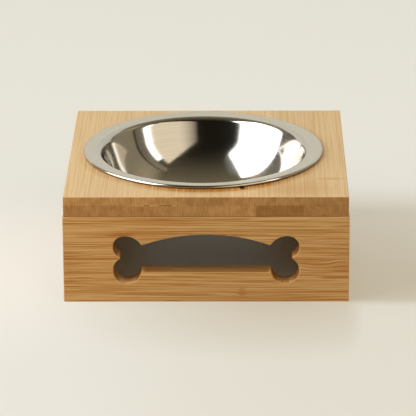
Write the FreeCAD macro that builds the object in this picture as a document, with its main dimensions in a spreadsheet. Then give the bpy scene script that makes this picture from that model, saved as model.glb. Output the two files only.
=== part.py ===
# Pet bowl with stand: a square bamboo box that carries a loose steel bowl. Millimetres.
# Origin on the floor under the middle of the stand, +Z up, the front looks along -Y.
import FreeCAD
import Part
import enum
import math
import os
import Sketcher

os.makedirs("parts", exist_ok=True)
doc = FreeCAD.newDocument("PetBowlStand")

# Driving sizes: alias, value, meaning
SIZES = [
    ("sheet", 0.6, "steel sheet of the bowl"),
    ("mouth_radius", 68.5, "bowl axis to the inner end of the flange"),
    ("mouth_round", 4.5, "rounding from the flange into the bowl, on its upper side"),
    ("flange_width", 7.3, "flange and hem, from the rounding to the outer edge"),
    ("flange_tilt", 6, "fall of the flange towards the mouth, in degrees"),
    ("hem_gap", 1.1, "air between the flange and the lip folded under it"),
    ("hem_lip", 4.5, "flat part of the folded lip"),
    ("bowl_depth", 44, "hem's top to the bowl's floor inside"),
    ("wall_lean", 20, "lean of the bowl's wall from upright, in degrees"),
    ("knuckle_radius", 46, "round between the bowl's wall and floor, inside"),
    ("bowl_play", 3.9, "hole radius less the bowl's radius at the top face"),
    ("seat_gap", 0.4, "air left where the bowl was pushed towards the hole's edge"),
    ("seat_direction", 136, "way the bowl was pushed, in degrees from +X"),
    ("side_margin", 11.7, "stand's left and right faces beyond the centred rim"),
    ("front_margin", 11.7, "stand's front and rear faces beyond the centred rim"),
    ("panel_height", 55, "height of the four panels"),
    ("panel_thickness", 13, "board of the four panels"),
    ("top_thickness", 13, "board of the top"),
    ("top_reveal", 0.5, "panel faces beyond the top board's edges"),
    ("edge_ease", 0.6, "sanded round along the boards' edges"),
    ("hole_round", 1, "round along the top edge of the bowl's hole"),
    ("grip_margin", 30.5, "panel end to the bone cut-out"),
    ("grip_rise", 0.6, "middle of the bone's knobs above the panel's mid height"),
    ("knob_spacing", 15.1, "upper knob's centre above the lower knob's"),
    ("lower_knob", 8.6, "radius of the bone's lower knobs"),
    ("upper_knob", 7.1, "radius of the bone's upper knobs"),
    ("shoulder_round", 12.2, "radius from the upper knob's top down to the neck"),
    ("sill_drop", 1.35, "bone's flat lower edge below the lower knobs' centres"),
    ("arch_rise", 8.15, "top of the bone's arch above the upper knobs' centres"),
    ("arch_sag", 7.1, "neck below the top of the arch"),
    ("grip_corner", 0.8, "round on the bone's sharp points"),
    ("dowel_diameter", 6, "wooden dowel"),
    ("dowel_play", 0.05, "glue room round a dowel"),
    ("dowel_end_gap", 0.5, "glue room at each end of a dowel"),
    ("dowel_bevel", 0.8, "bevel on a dowel's ends"),
    ("dowel_cover", 4.5, "wood left behind a dowel hole in a board's face"),
    ("dowel_edge_depth", 16, "dowel's length in the edge or end of a panel"),
    ("dowel_inset", 20.5, "end of the front panel to its top dowel"),
    ("dowel_spacing", 5, "wood between a corner dowel's hole and a side panel's top dowel hole"),
    ("corner_inset", 14, "panel's lower or upper edge to a corner dowel"),
]
sheet = doc.addObject("Spreadsheet::Sheet", "Sizes")
for row, (alias, number, meaning) in enumerate(SIZES, start=1):
    sheet.set(f"A{row}", meaning)
    sheet.set(f"B{row}", str(number))
    sheet.setAlias(f"B{row}", alias)
doc.recompute()

# Sizes that follow from the driving ones
RIM_RADIUS = "(Sizes.mouth_radius + Sizes.flange_width)"
HALF_WIDTH = f"({RIM_RADIUS} + Sizes.side_margin)"
HALF_DEPTH = f"({RIM_RADIUS} + Sizes.front_margin)"
TOP_FACE = "(Sizes.panel_height + Sizes.top_thickness)"
HEM_RISE = "(2 * Sizes.sheet + Sizes.hem_gap)"
BEAD_CENTRE = f"({RIM_RADIUS} - {HEM_RISE} / 2)"
UNDER_ROUND = "(Sizes.mouth_round - Sizes.sheet)"
FLANGE_FALL = f"(({BEAD_CENTRE} - Sizes.mouth_radius) * sin(Sizes.flange_tilt))"
ROUND_DROP = f"(({FLANGE_FALL} + Sizes.mouth_round - {HEM_RISE} / 2) / cos(Sizes.flange_tilt) - {HEM_RISE} / 2)"
NECK_RADIUS = f"(Sizes.mouth_radius - sqrt({UNDER_ROUND}^2 - {ROUND_DROP}^2))"
HOLE_RADIUS = f"({NECK_RADIUS} + Sizes.bowl_play)"
BOWL_SHIFT = "(Sizes.bowl_play - Sizes.seat_gap)"
HALF_SIDE = f"({HALF_DEPTH} - Sizes.panel_thickness)"
DOWEL_HOLE = "(Sizes.dowel_diameter / 2 + Sizes.dowel_play)"
EDGE_HOLE = "(Sizes.dowel_edge_depth + Sizes.dowel_end_gap)"
TOP_HOLE = "(Sizes.top_thickness - Sizes.dowel_cover)"
FACE_HOLE = "(Sizes.panel_thickness - Sizes.dowel_cover)"
SIDE_INSET = f"({EDGE_HOLE} + Sizes.dowel_spacing + {DOWEL_HOLE})"
PANEL_AXIS = "(Sizes.panel_thickness / 2)"
FACE_DOWEL_X = f"({HALF_WIDTH} - Sizes.dowel_inset)"
SIDE_DOWEL_X = f"({HALF_SIDE} - {SIDE_INSET})"
CORNER_HEIGHTS = {"lower": "Sizes.corner_inset", "upper": "(Sizes.panel_height - Sizes.corner_inset)"}
SIDES = (-1, 1)
SIDE_NAMES = {-1: "left", 1: "right"}
DEPTH_NAMES = {-1: "front", 1: "rear"}

# Turns of a piece about an axis of its own frame
UPRIGHT = FreeCAD.Rotation()
HALF_TURN = FreeCAD.Rotation(FreeCAD.Vector(0, 0, 1), 180)
QUARTER_LEFT = FreeCAD.Rotation(FreeCAD.Vector(0, 0, 1), -90)
QUARTER_RIGHT = FreeCAD.Rotation(FreeCAD.Vector(0, 0, 1), 90)
ALONG_X = FreeCAD.Rotation(FreeCAD.Vector(0, 1, 0), 90)
ALONG_Y = FreeCAD.Rotation(FreeCAD.Vector(1, 0, 0), -90)

# Distance under which two places count as one
TOUCH = 0.001


class Spot(enum.IntEnum):
    """Points of a sketch's line or arc."""

    START = 1
    END = 2
    CENTRE = 3


class Guide(enum.IntEnum):
    """A sketch's own axes. The level one starts at the sketch's origin."""

    LEVEL = -1
    UPRIGHT = -2


ORIGIN = (Guide.LEVEL, Spot.START)


def value(expression):
    """Give the number that an expression over the sheet has now."""
    return float(sheet.evalExpression(expression))


def place(piece, turn, x="0", y="0", z="0"):
    """Turn a body or a primitive and bind its place to three expressions."""
    piece.Placement = FreeCAD.Placement(FreeCAD.Vector(), turn)
    for axis, expression in (("x", x), ("y", y), ("z", z)):
        piece.setExpression(f"Placement.Base.{axis}", expression)


def new_body(label, turn=UPRIGHT, x="0", y="0", z="0"):
    """Start a sub-part: a body with its own label and place."""
    body = doc.addObject("PartDesign::Body", label)
    body.Label = label
    place(body, turn, x, y, z)
    return body


def base_plane(body, role):
    """Find one of the body's own origin planes."""
    return next(plane for plane in body.Origin.OriginFeatures if plane.Role == role)


def upright_sketch(body, name):
    """Start a sketch on the body's XZ plane."""
    sketch = body.newObject("Sketcher::SketchObject", name)
    sketch.AttachmentSupport = [(base_plane(body, "XZ_Plane"), "")]
    sketch.MapMode = "FlatFace"
    return sketch


def add_line(sketch, start, end):
    """Draw a line between two points and give its number."""
    return sketch.addGeometry(Part.LineSegment(FreeCAD.Vector(*start, 0), FreeCAD.Vector(*end, 0)))


def add_arc(sketch, centre, radius, start_angle, end_angle):
    """Draw an anticlockwise arc, with its angles in radians, and give its number."""
    circle = Part.Circle(FreeCAD.Vector(*centre, 0), FreeCAD.Vector(0, 0, 1), radius)
    return sketch.addGeometry(Part.ArcOfCircle(circle, start_angle, end_angle))


def rule(sketch, kind, *ends):
    """Add a constraint without a size."""
    sketch.addConstraint(Sketcher.Constraint(kind, *ends))


def measure(sketch, kind, ends, name, expression, number=None):
    """Add a named constraint and bind its size to an expression."""
    number = value(expression) if number is None else number
    index = sketch.addConstraint(Sketcher.Constraint(kind, *ends, number))
    sketch.renameConstraint(index, name)
    sketch.setExpression(f"Constraints.{name}", expression)


def named_edges(feature, wanted):
    """List the names of a feature's edges that a test picks."""
    edges = enumerate(feature.Shape.Edges, start=1)
    return [f"Edge{number}" for number, edge in edges if wanted(edge)]


def round_edges(body, name, wanted, radius):
    """Round those edges of the body's last feature that a test picks."""
    doc.recompute()
    feature = body.Tip
    names = named_edges(feature, wanted)
    rounding = body.newObject("PartDesign::Fillet", name)
    rounding.Base = (feature, names)
    rounding.setExpression("Radius", radius)


def add_blank(body, length, width, height, x, y):
    """Cut a rectangular board, from the body's z = 0 up, and sand all its edges."""
    blank = body.newObject("PartDesign::AdditiveBox", "Blank")
    blank.setExpression("Length", length)
    blank.setExpression("Width", width)
    blank.setExpression("Height", height)
    place(blank, UPRIGHT, x, y)
    round_edges(body, "SandedEdges", lambda edge: True, "Sizes.edge_ease")


def drill(body, name, turn, depth, x, y, z, radius=DOWEL_HOLE):
    """Drill a round hole that starts at a point and runs along the turned Z axis."""
    hole = body.newObject("PartDesign::SubtractiveCylinder", name)
    hole.setExpression("Radius", radius)
    hole.setExpression("Height", depth)
    place(hole, turn, x, y, z)


def drill_panel_top(body, x):
    """Drill a dowel hole down into a panel's top edge."""
    start = f"Sizes.panel_height - {EDGE_HOLE}"
    drill(body, "TopDowelHole", UPRIGHT, EDGE_HOLE, x, PANEL_AXIS, start)


def draw_bowl_section(sketch):
    """Draw half of the bowl's section about the sketch's up axis, with the seat at height 0."""
    lean = math.radians(value("Sizes.wall_lean"))
    tilt = math.radians(value("Sizes.flange_tilt"))
    thick = value("Sizes.sheet")
    rise = value(HEM_RISE)
    bead_x, bead = value(BEAD_CENTRE), rise / 2
    lip_x = bead_x - value("Sizes.hem_lip")
    mouth_x, mouth = value("Sizes.mouth_radius"), value("Sizes.mouth_round")
    mouth_z = -value(ROUND_DROP)
    knuckle = value("Sizes.knuckle_radius")
    floor_z = rise - value("Sizes.bowl_depth")
    knuckle_z = floor_z + knuckle
    reach = mouth + knuckle
    wall_drop = mouth_z - knuckle_z + reach * math.sin(lean)
    knuckle_x = mouth_x - reach * math.cos(lean) - wall_drop * math.tan(lean)
    down, up, wall_end = -math.pi / 2, math.pi / 2 + tilt, math.pi - lean

    def mouth_point(radius, angle):
        return mouth_x + radius * math.cos(angle), mouth_z + radius * math.sin(angle)

    def bead_point(radius):
        return bead_x + radius * math.cos(up), bead + radius * math.sin(up)

    def knuckle_point(radius):
        return knuckle_x + radius * math.cos(-lean), knuckle_z + radius * math.sin(-lean)

    floor = add_line(sketch, (0, floor_z), (knuckle_x, floor_z))
    knuckle_in = add_arc(sketch, (knuckle_x, knuckle_z), knuckle, down, -lean)
    wall_in = add_line(sketch, knuckle_point(knuckle), mouth_point(mouth, wall_end))
    mouth_top = add_arc(sketch, (mouth_x, mouth_z), mouth, up, wall_end)
    flange_top = add_line(sketch, mouth_point(mouth, up), bead_point(bead))
    bead_out = add_arc(sketch, (bead_x, bead), bead, down, up)
    lip_under = add_line(sketch, (bead_x, 0), (lip_x, 0))
    lip_end = add_line(sketch, (lip_x, 0), (lip_x, thick))
    lip_top = add_line(sketch, (lip_x, thick), (bead_x, thick))
    bead_in = add_arc(sketch, (bead_x, bead), bead - thick, down, up)
    flange_under = add_line(sketch, bead_point(bead - thick), mouth_point(mouth - thick, up))
    mouth_under = add_arc(sketch, (mouth_x, mouth_z), mouth - thick, up, wall_end)
    wall_out = add_line(sketch, mouth_point(mouth - thick, wall_end), knuckle_point(knuckle + thick))
    knuckle_out = add_arc(sketch, (knuckle_x, knuckle_z), knuckle + thick, down, -lean)
    underside = add_line(sketch, (knuckle_x, floor_z - thick), (0, floor_z - thick))
    axis = add_line(sketch, (0, floor_z - thick), (0, floor_z))

    for line, end, arc, arc_end in (
        (floor, Spot.END, knuckle_in, Spot.START),
        (wall_in, Spot.START, knuckle_in, Spot.END),
        (wall_in, Spot.END, mouth_top, Spot.END),
        (flange_top, Spot.START, mouth_top, Spot.START),
        (flange_top, Spot.END, bead_out, Spot.END),
        (lip_under, Spot.START, bead_out, Spot.START),
        (lip_top, Spot.END, bead_in, Spot.START),
        (flange_under, Spot.START, bead_in, Spot.END),
        (flange_under, Spot.END, mouth_under, Spot.START),
        (wall_out, Spot.START, mouth_under, Spot.END),
        (wall_out, Spot.END, knuckle_out, Spot.END),
        (underside, Spot.START, knuckle_out, Spot.START),
    ):
        rule(sketch, "Tangent", line, end, arc, arc_end)
    for first, second in ((lip_under, lip_end), (lip_end, lip_top), (underside, axis), (axis, floor)):
        rule(sketch, "Coincident", first, Spot.END, second, Spot.START)
    for line in (floor, lip_under, lip_top, underside):
        rule(sketch, "Horizontal", line)
    for line in (lip_end, axis):
        rule(sketch, "Vertical", line)
    for inner, outer in ((knuckle_in, knuckle_out), (mouth_top, mouth_under), (bead_in, bead_out)):
        rule(sketch, "Coincident", inner, Spot.CENTRE, outer, Spot.CENTRE)
    rule(sketch, "Parallel", flange_top, flange_under)
    rule(sketch, "PointOnObject", lip_under, Spot.START, Guide.LEVEL)
    rule(sketch, "PointOnObject", floor, Spot.START, Guide.UPRIGHT)
    measure(sketch, "DistanceY", (lip_end, Spot.START, lip_end, Spot.END), "lip_sheet", "Sizes.sheet")
    measure(sketch, "DistanceY", (axis, Spot.START, axis, Spot.END), "floor_sheet", "Sizes.sheet")
    measure(sketch, "Radius", (bead_in,), "hem_air", "Sizes.hem_gap / 2")
    measure(sketch, "DistanceX", (lip_under, Spot.END, lip_under, Spot.START), "lip_width", "Sizes.hem_lip")
    measure(sketch, "DistanceX", (*ORIGIN, bead_out, Spot.CENTRE), "bead_place", BEAD_CENTRE)
    measure(sketch, "DistanceX", (*ORIGIN, mouth_top, Spot.CENTRE), "mouth_place", "Sizes.mouth_radius")
    depth_ends = (floor, Spot.START, bead_out, Spot.CENTRE)
    measure(sketch, "DistanceY", depth_ends, "inner_depth", f"Sizes.bowl_depth - {HEM_RISE} / 2")
    measure(sketch, "Angle", (flange_top,), "flange_slope", "Sizes.flange_tilt * 1 deg", tilt)
    measure(sketch, "Radius", (mouth_top,), "mouth_rounding", "Sizes.mouth_round")
    measure(sketch, "Radius", (knuckle_in,), "knuckle_rounding", "Sizes.knuckle_radius")
    measure(sketch, "Angle", (wall_in,), "wall_slope", "90 deg - Sizes.wall_lean * 1 deg", math.pi / 2 - lean)


def make_bowl():
    """Press the bowl: one sheet turned about its axis, seated on the top board by its lip."""
    shift_x = f"{BOWL_SHIFT} * cos(Sizes.seat_direction)"
    shift_y = f"{BOWL_SHIFT} * sin(Sizes.seat_direction)"
    body = new_body("bowl", UPRIGHT, shift_x, shift_y, TOP_FACE)
    sketch = upright_sketch(body, "BowlSection")
    draw_bowl_section(sketch)
    turning = body.newObject("PartDesign::Revolution", "PressedSheet")
    turning.Profile = sketch
    turning.ReferenceAxis = (sketch, ["V_Axis"])
    turning.Angle = 360
    return body


def make_top_board():
    """Cut the top board, with the bowl's hole and a blind dowel hole over each top dowel."""
    body = new_body("top_board", UPRIGHT, z="Sizes.panel_height")
    half_length = f"({HALF_WIDTH} - Sizes.top_reveal)"
    half_width = f"({HALF_DEPTH} - Sizes.top_reveal)"
    sides = (f"2 * {half_length}", f"2 * {half_width}", "Sizes.top_thickness")
    add_blank(body, *sides, f"-{half_length}", f"-{half_width}")
    drill(body, "BowlHole", UPRIGHT, "Sizes.top_thickness", "0", "0", "0", HOLE_RADIUS)
    hole_width, top = 2 * value(HOLE_RADIUS), value("Sizes.top_thickness")

    def is_ring(edge, height):
        box = edge.BoundBox
        round_hole = math.dist((box.XLength, box.YLength), (hole_width, hole_width)) < TOUCH
        return round_hole and max(abs(box.ZMin - height), abs(box.ZMax - height)) < TOUCH

    round_edges(body, "HoleUpperRound", lambda edge: is_ring(edge, top), "Sizes.hole_round")
    round_edges(body, "HoleLowerRound", lambda edge: is_ring(edge, 0), "Sizes.edge_ease")
    for x, y in top_dowel_places().values():
        drill(body, "DowelHole", UPRIGHT, TOP_HOLE, x, y, "0")
    return body


def draw_half_bone(sketch):
    """Draw the right half of the bone cut-out, with the panel's foot at height 0."""
    knob_middle = "(Sizes.panel_height / 2 + Sizes.grip_rise)"
    low_x = f"({HALF_WIDTH} - Sizes.grip_margin - Sizes.lower_knob)"
    high_x = f"({HALF_WIDTH} - Sizes.grip_margin - Sizes.upper_knob)"
    low_z = f"({knob_middle} - Sizes.knob_spacing / 2)"
    high_z = f"({knob_middle} + Sizes.knob_spacing / 2)"
    sill_z = f"({low_z} - Sizes.sill_drop)"
    apex_z = f"({high_z} + Sizes.arch_rise)"
    neck_z = f"({apex_z} - Sizes.arch_sag)"
    low, low_radius = (value(low_x), value(low_z)), value("Sizes.lower_knob")
    high, high_radius = (value(high_x), value(high_z)), value("Sizes.upper_knob")
    shoulder_radius = value("Sizes.shoulder_round")
    shoulder = (high[0], high[1] + high_radius - shoulder_radius)
    sill, apex, neck_height = value(sill_z), value(apex_z), value(neck_z)

    # Where the knobs' circles cross, on the outer side
    gap = math.dist(low, high)
    along = (gap ** 2 + low_radius ** 2 - high_radius ** 2) / (2 * gap)
    aside = math.sqrt(low_radius ** 2 - along ** 2)
    way = ((high[0] - low[0]) / gap, (high[1] - low[1]) / gap)
    notch = (low[0] + along * way[0] + aside * way[1], low[1] + along * way[1] - aside * way[0])
    sill_end = (low[0] - math.sqrt(low_radius ** 2 - (sill - low[1]) ** 2), sill)
    neck = (shoulder[0] - math.sqrt(shoulder_radius ** 2 - (neck_height - shoulder[1]) ** 2), neck_height)
    sag = apex - neck_height
    arch_radius = (neck[0] ** 2 + sag ** 2) / (2 * sag)
    arch = (0, apex - arch_radius)

    def angle(centre, point):
        return math.atan2(point[1] - centre[1], point[0] - centre[0])

    turn, up = 2 * math.pi, math.pi / 2
    middle = add_line(sketch, (0, sill), (0, apex))
    bottom = add_line(sketch, (0, sill), sill_end)
    lower = add_arc(sketch, low, low_radius, angle(low, sill_end) % turn, angle(low, notch) + turn)
    upper = add_arc(sketch, high, high_radius, angle(high, notch), up)
    slope = add_arc(sketch, shoulder, shoulder_radius, up, angle(shoulder, neck))
    crown = add_arc(sketch, arch, arch_radius, angle(arch, neck), up)

    rule(sketch, "Vertical", middle)
    rule(sketch, "Horizontal", bottom)
    rule(sketch, "PointOnObject", middle, Spot.START, Guide.UPRIGHT)
    rule(sketch, "PointOnObject", crown, Spot.CENTRE, Guide.UPRIGHT)
    rule(sketch, "Coincident", middle, Spot.START, bottom, Spot.START)
    for first, second in ((bottom, lower), (lower, upper), (slope, crown)):
        rule(sketch, "Coincident", first, Spot.END, second, Spot.START)
    rule(sketch, "Coincident", crown, Spot.END, middle, Spot.END)
    rule(sketch, "Tangent", upper, Spot.END, slope, Spot.START)
    rule(sketch, "Vertical", upper, Spot.CENTRE, slope, Spot.CENTRE)
    measure(sketch, "DistanceY", (*ORIGIN, middle, Spot.START), "sill_height", sill_z)
    measure(sketch, "DistanceY", (*ORIGIN, middle, Spot.END), "apex_height", apex_z)
    measure(sketch, "DistanceY", (*ORIGIN, crown, Spot.START), "neck_height", neck_z)
    measure(sketch, "DistanceX", (*ORIGIN, lower, Spot.CENTRE), "lower_place", low_x)
    measure(sketch, "DistanceY", (*ORIGIN, lower, Spot.CENTRE), "lower_height", low_z)
    measure(sketch, "DistanceX", (*ORIGIN, upper, Spot.CENTRE), "upper_place", high_x)
    measure(sketch, "DistanceY", (*ORIGIN, upper, Spot.CENTRE), "upper_height", high_z)
    measure(sketch, "Radius", (lower,), "lower_size", "Sizes.lower_knob")
    measure(sketch, "Radius", (upper,), "upper_size", "Sizes.upper_knob")
    measure(sketch, "Radius", (slope,), "shoulder_size", "Sizes.shoulder_round")
    return sill_end, notch, neck


def cut_bone(body):
    """Cut the bone through a panel and sand its points and its two rims."""
    sketch = upright_sketch(body, "HalfBone")
    points = draw_half_bone(sketch)
    half = body.newObject("PartDesign::Pocket", "HalfBoneCut")
    half.Profile = sketch
    half.Type = "ThroughAll"
    doc.recompute()
    whole = body.newObject("PartDesign::Mirrored", "BoneCut")
    whole.Originals = [half]
    whole.MirrorPlane = (base_plane(body, "YZ_Plane"), [""])
    body.Tip = whole
    half_length = value(f"({HALF_WIDTH} - Sizes.grip_margin)")
    faces = (0, value("Sizes.panel_thickness"))

    def is_point(edge):
        middle = edge.CenterOfMass
        box = edge.BoundBox
        through = box.XLength < TOUCH and box.ZLength < TOUCH
        near = (math.dist((abs(middle.x), middle.z), point) < TOUCH for point in points)
        return through and any(near)

    def is_rim(edge):
        box = edge.BoundBox
        flat = box.YLength < TOUCH and any(abs(box.YMin - face) < TOUCH for face in faces)
        return flat and max(-box.XMin, box.XMax) < half_length + TOUCH

    round_edges(body, "BonePoints", is_point, "Sizes.grip_corner")
    round_edges(body, "BoneRims", is_rim, "Sizes.edge_ease")


def make_face_panel(label, turn, y):
    """Cut the front or rear panel, with its outer face at its own y = 0, a bone cut-out and dowel holes."""
    body = new_body(label, turn, y=y)
    add_blank(body, f"2 * {HALF_WIDTH}", "Sizes.panel_thickness", "Sizes.panel_height", f"-{HALF_WIDTH}", "0")
    cut_bone(body)
    for side in SIDES:
        drill_panel_top(body, f"{side} * {FACE_DOWEL_X}")
        corner_x = f"{side} * ({HALF_WIDTH} - {PANEL_AXIS})"
        for height in CORNER_HEIGHTS.values():
            drill(body, "CornerDowelHole", ALONG_Y, FACE_HOLE, corner_x, "Sizes.dowel_cover", height)
    return body


def make_side_panel(label, turn, x):
    """Cut the left or right panel, which fits between the front and the rear one."""
    body = new_body(label, turn, x=x)
    add_blank(body, f"2 * {HALF_SIDE}", "Sizes.panel_thickness", "Sizes.panel_height", f"-{HALF_SIDE}", "0")
    end_starts = {-1: f"-{HALF_SIDE}", 1: f"{HALF_SIDE} - {EDGE_HOLE}"}
    for side in SIDES:
        drill_panel_top(body, f"{side} * {SIDE_DOWEL_X}")
        for height in CORNER_HEIGHTS.values():
            drill(body, "CornerDowelHole", ALONG_X, EDGE_HOLE, end_starts[side], PANEL_AXIS, height)
    return body


def top_dowel_places():
    """Name each top dowel after its panel and its end, with its x and y."""
    places = {}
    face_y = f"({HALF_DEPTH} - {PANEL_AXIS})"
    side_x = f"({HALF_WIDTH} - {PANEL_AXIS})"
    for depth in SIDES:
        for side in SIDES:
            face_name = f"{DEPTH_NAMES[depth]}_panel_{SIDE_NAMES[side]}_dowel"
            side_name = f"{SIDE_NAMES[side]}_panel_{DEPTH_NAMES[depth]}_dowel"
            places[face_name] = (f"{side} * {FACE_DOWEL_X}", f"{depth} * {face_y}")
            places[side_name] = (f"{side} * {side_x}", f"{depth} * {SIDE_DOWEL_X}")
    return places


def make_dowel(label, turn, length, x, y, z):
    """Turn a dowel with bevelled ends, from a point along the turned Z axis."""
    body = new_body(label, turn, x, y, z)
    rod = body.newObject("PartDesign::AdditiveCylinder", "Rod")
    rod.setExpression("Radius", "Sizes.dowel_diameter / 2")
    rod.setExpression("Height", length)
    doc.recompute()
    bevel = body.newObject("PartDesign::Chamfer", "BevelledEnds")
    bevel.Base = (rod, named_edges(rod, lambda edge: isinstance(edge.Curve, Part.Circle)))
    bevel.setExpression("Size", "Sizes.dowel_bevel")
    return body


def make_top_dowels():
    """Make the eight upright dowels between the panels and the top board."""
    length = f"Sizes.dowel_edge_depth + {TOP_HOLE} - Sizes.dowel_end_gap"
    start = "Sizes.panel_height - Sizes.dowel_edge_depth"
    places = top_dowel_places().items()
    return [make_dowel(label, UPRIGHT, length, x, y, start) for label, (x, y) in places]


def make_corner_dowels():
    """Make the eight level dowels between the side panels and the front and rear ones."""
    length = f"Sizes.dowel_edge_depth + {FACE_HOLE} - Sizes.dowel_end_gap"
    outer = f"({HALF_DEPTH} - Sizes.dowel_cover - Sizes.dowel_end_gap)"
    starts = {-1: f"-{outer}", 1: f"{HALF_SIDE} - Sizes.dowel_edge_depth"}
    dowels = []
    for depth in SIDES:
        for side in SIDES:
            for level, height in CORNER_HEIGHTS.items():
                label = f"{DEPTH_NAMES[depth]}_{SIDE_NAMES[side]}_{level}_corner_dowel"
                x = f"{side} * ({HALF_WIDTH} - {PANEL_AXIS})"
                dowels.append(make_dowel(label, ALONG_Y, length, x, starts[depth], height))
    return dowels


def check(pieces):
    """Stop if a feature failed or a sub-part isn't one valid solid."""
    for item in doc.Objects:
        if "Invalid" in item.State or "Error" in item.State:
            raise RuntimeError(f"{item.Name} failed: {item.State}")
    for piece in pieces:
        shape = piece.Shape
        if shape.isNull() or not shape.isValid() or len(shape.Solids) != 1:
            raise RuntimeError(f"{piece.Label} isn't one valid solid")


def main():
    """Build every sub-part and write each to its own file."""
    pieces = [
        make_bowl(),
        make_top_board(),
        make_face_panel("front_panel", UPRIGHT, f"-{HALF_DEPTH}"),
        make_face_panel("rear_panel", HALF_TURN, HALF_DEPTH),
        make_side_panel("left_panel", QUARTER_LEFT, f"-{HALF_WIDTH}"),
        make_side_panel("right_panel", QUARTER_RIGHT, HALF_WIDTH),
        *make_top_dowels(),
        *make_corner_dowels(),
    ]
    doc.recompute()
    check(pieces)
    for piece in pieces:
        piece.Shape.exportStep(f"parts/{piece.Label}.step")
        print(f"{piece.Label}: {piece.Shape.Volume:.1f} mm3")


main()
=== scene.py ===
"""Looks of the pet bowl with stand.

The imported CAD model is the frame. The boards and dowels of the stand keep their CAD shapes and get bamboo
and beech finishes that follow each board's grain. The pressed steel bowl is replaced by a finer spun shell
with a satin flange and a mirror inside. A pale sweep, one large softbox and a few dim cards make the studio.
"""

import logging
import math
from dataclasses import dataclass, field
from enum import Enum

import bpy
from mathutils import Matrix, Vector


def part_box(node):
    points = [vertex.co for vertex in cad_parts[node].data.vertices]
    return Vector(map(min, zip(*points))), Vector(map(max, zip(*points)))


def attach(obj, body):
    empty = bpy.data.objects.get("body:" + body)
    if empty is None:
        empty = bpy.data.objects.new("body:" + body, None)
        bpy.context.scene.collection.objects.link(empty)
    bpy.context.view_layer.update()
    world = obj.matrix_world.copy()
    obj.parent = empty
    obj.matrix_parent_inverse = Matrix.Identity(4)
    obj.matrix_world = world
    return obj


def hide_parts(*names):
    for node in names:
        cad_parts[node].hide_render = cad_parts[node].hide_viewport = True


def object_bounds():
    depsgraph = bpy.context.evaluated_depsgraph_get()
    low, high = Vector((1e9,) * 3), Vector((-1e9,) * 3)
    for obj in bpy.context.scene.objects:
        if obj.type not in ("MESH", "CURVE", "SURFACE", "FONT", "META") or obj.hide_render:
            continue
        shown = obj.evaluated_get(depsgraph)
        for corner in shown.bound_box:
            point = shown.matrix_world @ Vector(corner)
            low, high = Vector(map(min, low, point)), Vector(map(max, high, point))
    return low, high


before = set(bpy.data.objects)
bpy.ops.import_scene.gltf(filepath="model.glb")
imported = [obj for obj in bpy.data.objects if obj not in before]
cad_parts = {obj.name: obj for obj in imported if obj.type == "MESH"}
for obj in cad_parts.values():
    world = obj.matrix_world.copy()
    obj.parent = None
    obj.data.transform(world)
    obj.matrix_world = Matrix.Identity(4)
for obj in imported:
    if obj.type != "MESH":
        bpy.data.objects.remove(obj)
CAD_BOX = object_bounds()

LOG = logging.getLogger("pet_bowl")
MM = 0.001
PER_MM = (1 / MM, 1 / MM, 1 / MM)
FLAT = (1.0, 1.0, 0.0)
NOISE_MIDDLE = 0.5

Pair = tuple[float, float]
Triple = tuple[float, float, float]
Colour = tuple[float, float, float, float]
Socket = bpy.types.NodeSocket
Masks = dict[str, Socket]
Feed = Socket | float | tuple[float, ...]


def srgb(red: int, green: int, blue: int) -> Colour:
    """Turn an 8-bit screen colour into a linear shader colour.

    Args:
        red: Red, 0 to 255.
        green: Green, 0 to 255.
        blue: Blue, 0 to 255.

    Returns:
        The linear colour with full alpha.
    """
    shares = (channel / 255 for channel in (red, green, blue))
    linear = [s / 12.92 if s <= 0.04045 else ((s + 0.055) / 1.055) ** 2.4 for s in shares]
    return (*linear, 1.0)


def toned(colour: Colour, shares: Triple) -> Colour:
    """Give a colour with each channel times its share."""
    return (*(share * channel for share, channel in zip(shares, colour)), 1.0)


def grey(level: float) -> Colour:
    """Give the grey of one level."""
    return (level, level, level, 1.0)


def smooth_mesh(name: str, verts: list[Triple], faces: list[tuple[int, ...]]) -> bpy.types.Mesh:
    """Make a mesh with smooth faces.

    Args:
        name: The mesh's name.
        verts: Its corners in metres.
        faces: The numbers of the corners of each face.

    Returns:
        The mesh.
    """
    mesh = bpy.data.meshes.new(name)
    mesh.from_pydata(verts, [], faces)
    mesh.polygons.foreach_set("use_smooth", [True] * len(faces))
    return mesh


def put_in_scene(name: str, data: bpy.types.ID) -> bpy.types.Object:
    """Make an object of a mesh, a lamp or a camera.

    Args:
        name: The object's name.
        data: What it shows.

    Returns:
        The object, linked to the scene.
    """
    piece = bpy.data.objects.new(name, data)
    bpy.context.scene.collection.objects.link(piece)
    return piece


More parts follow.
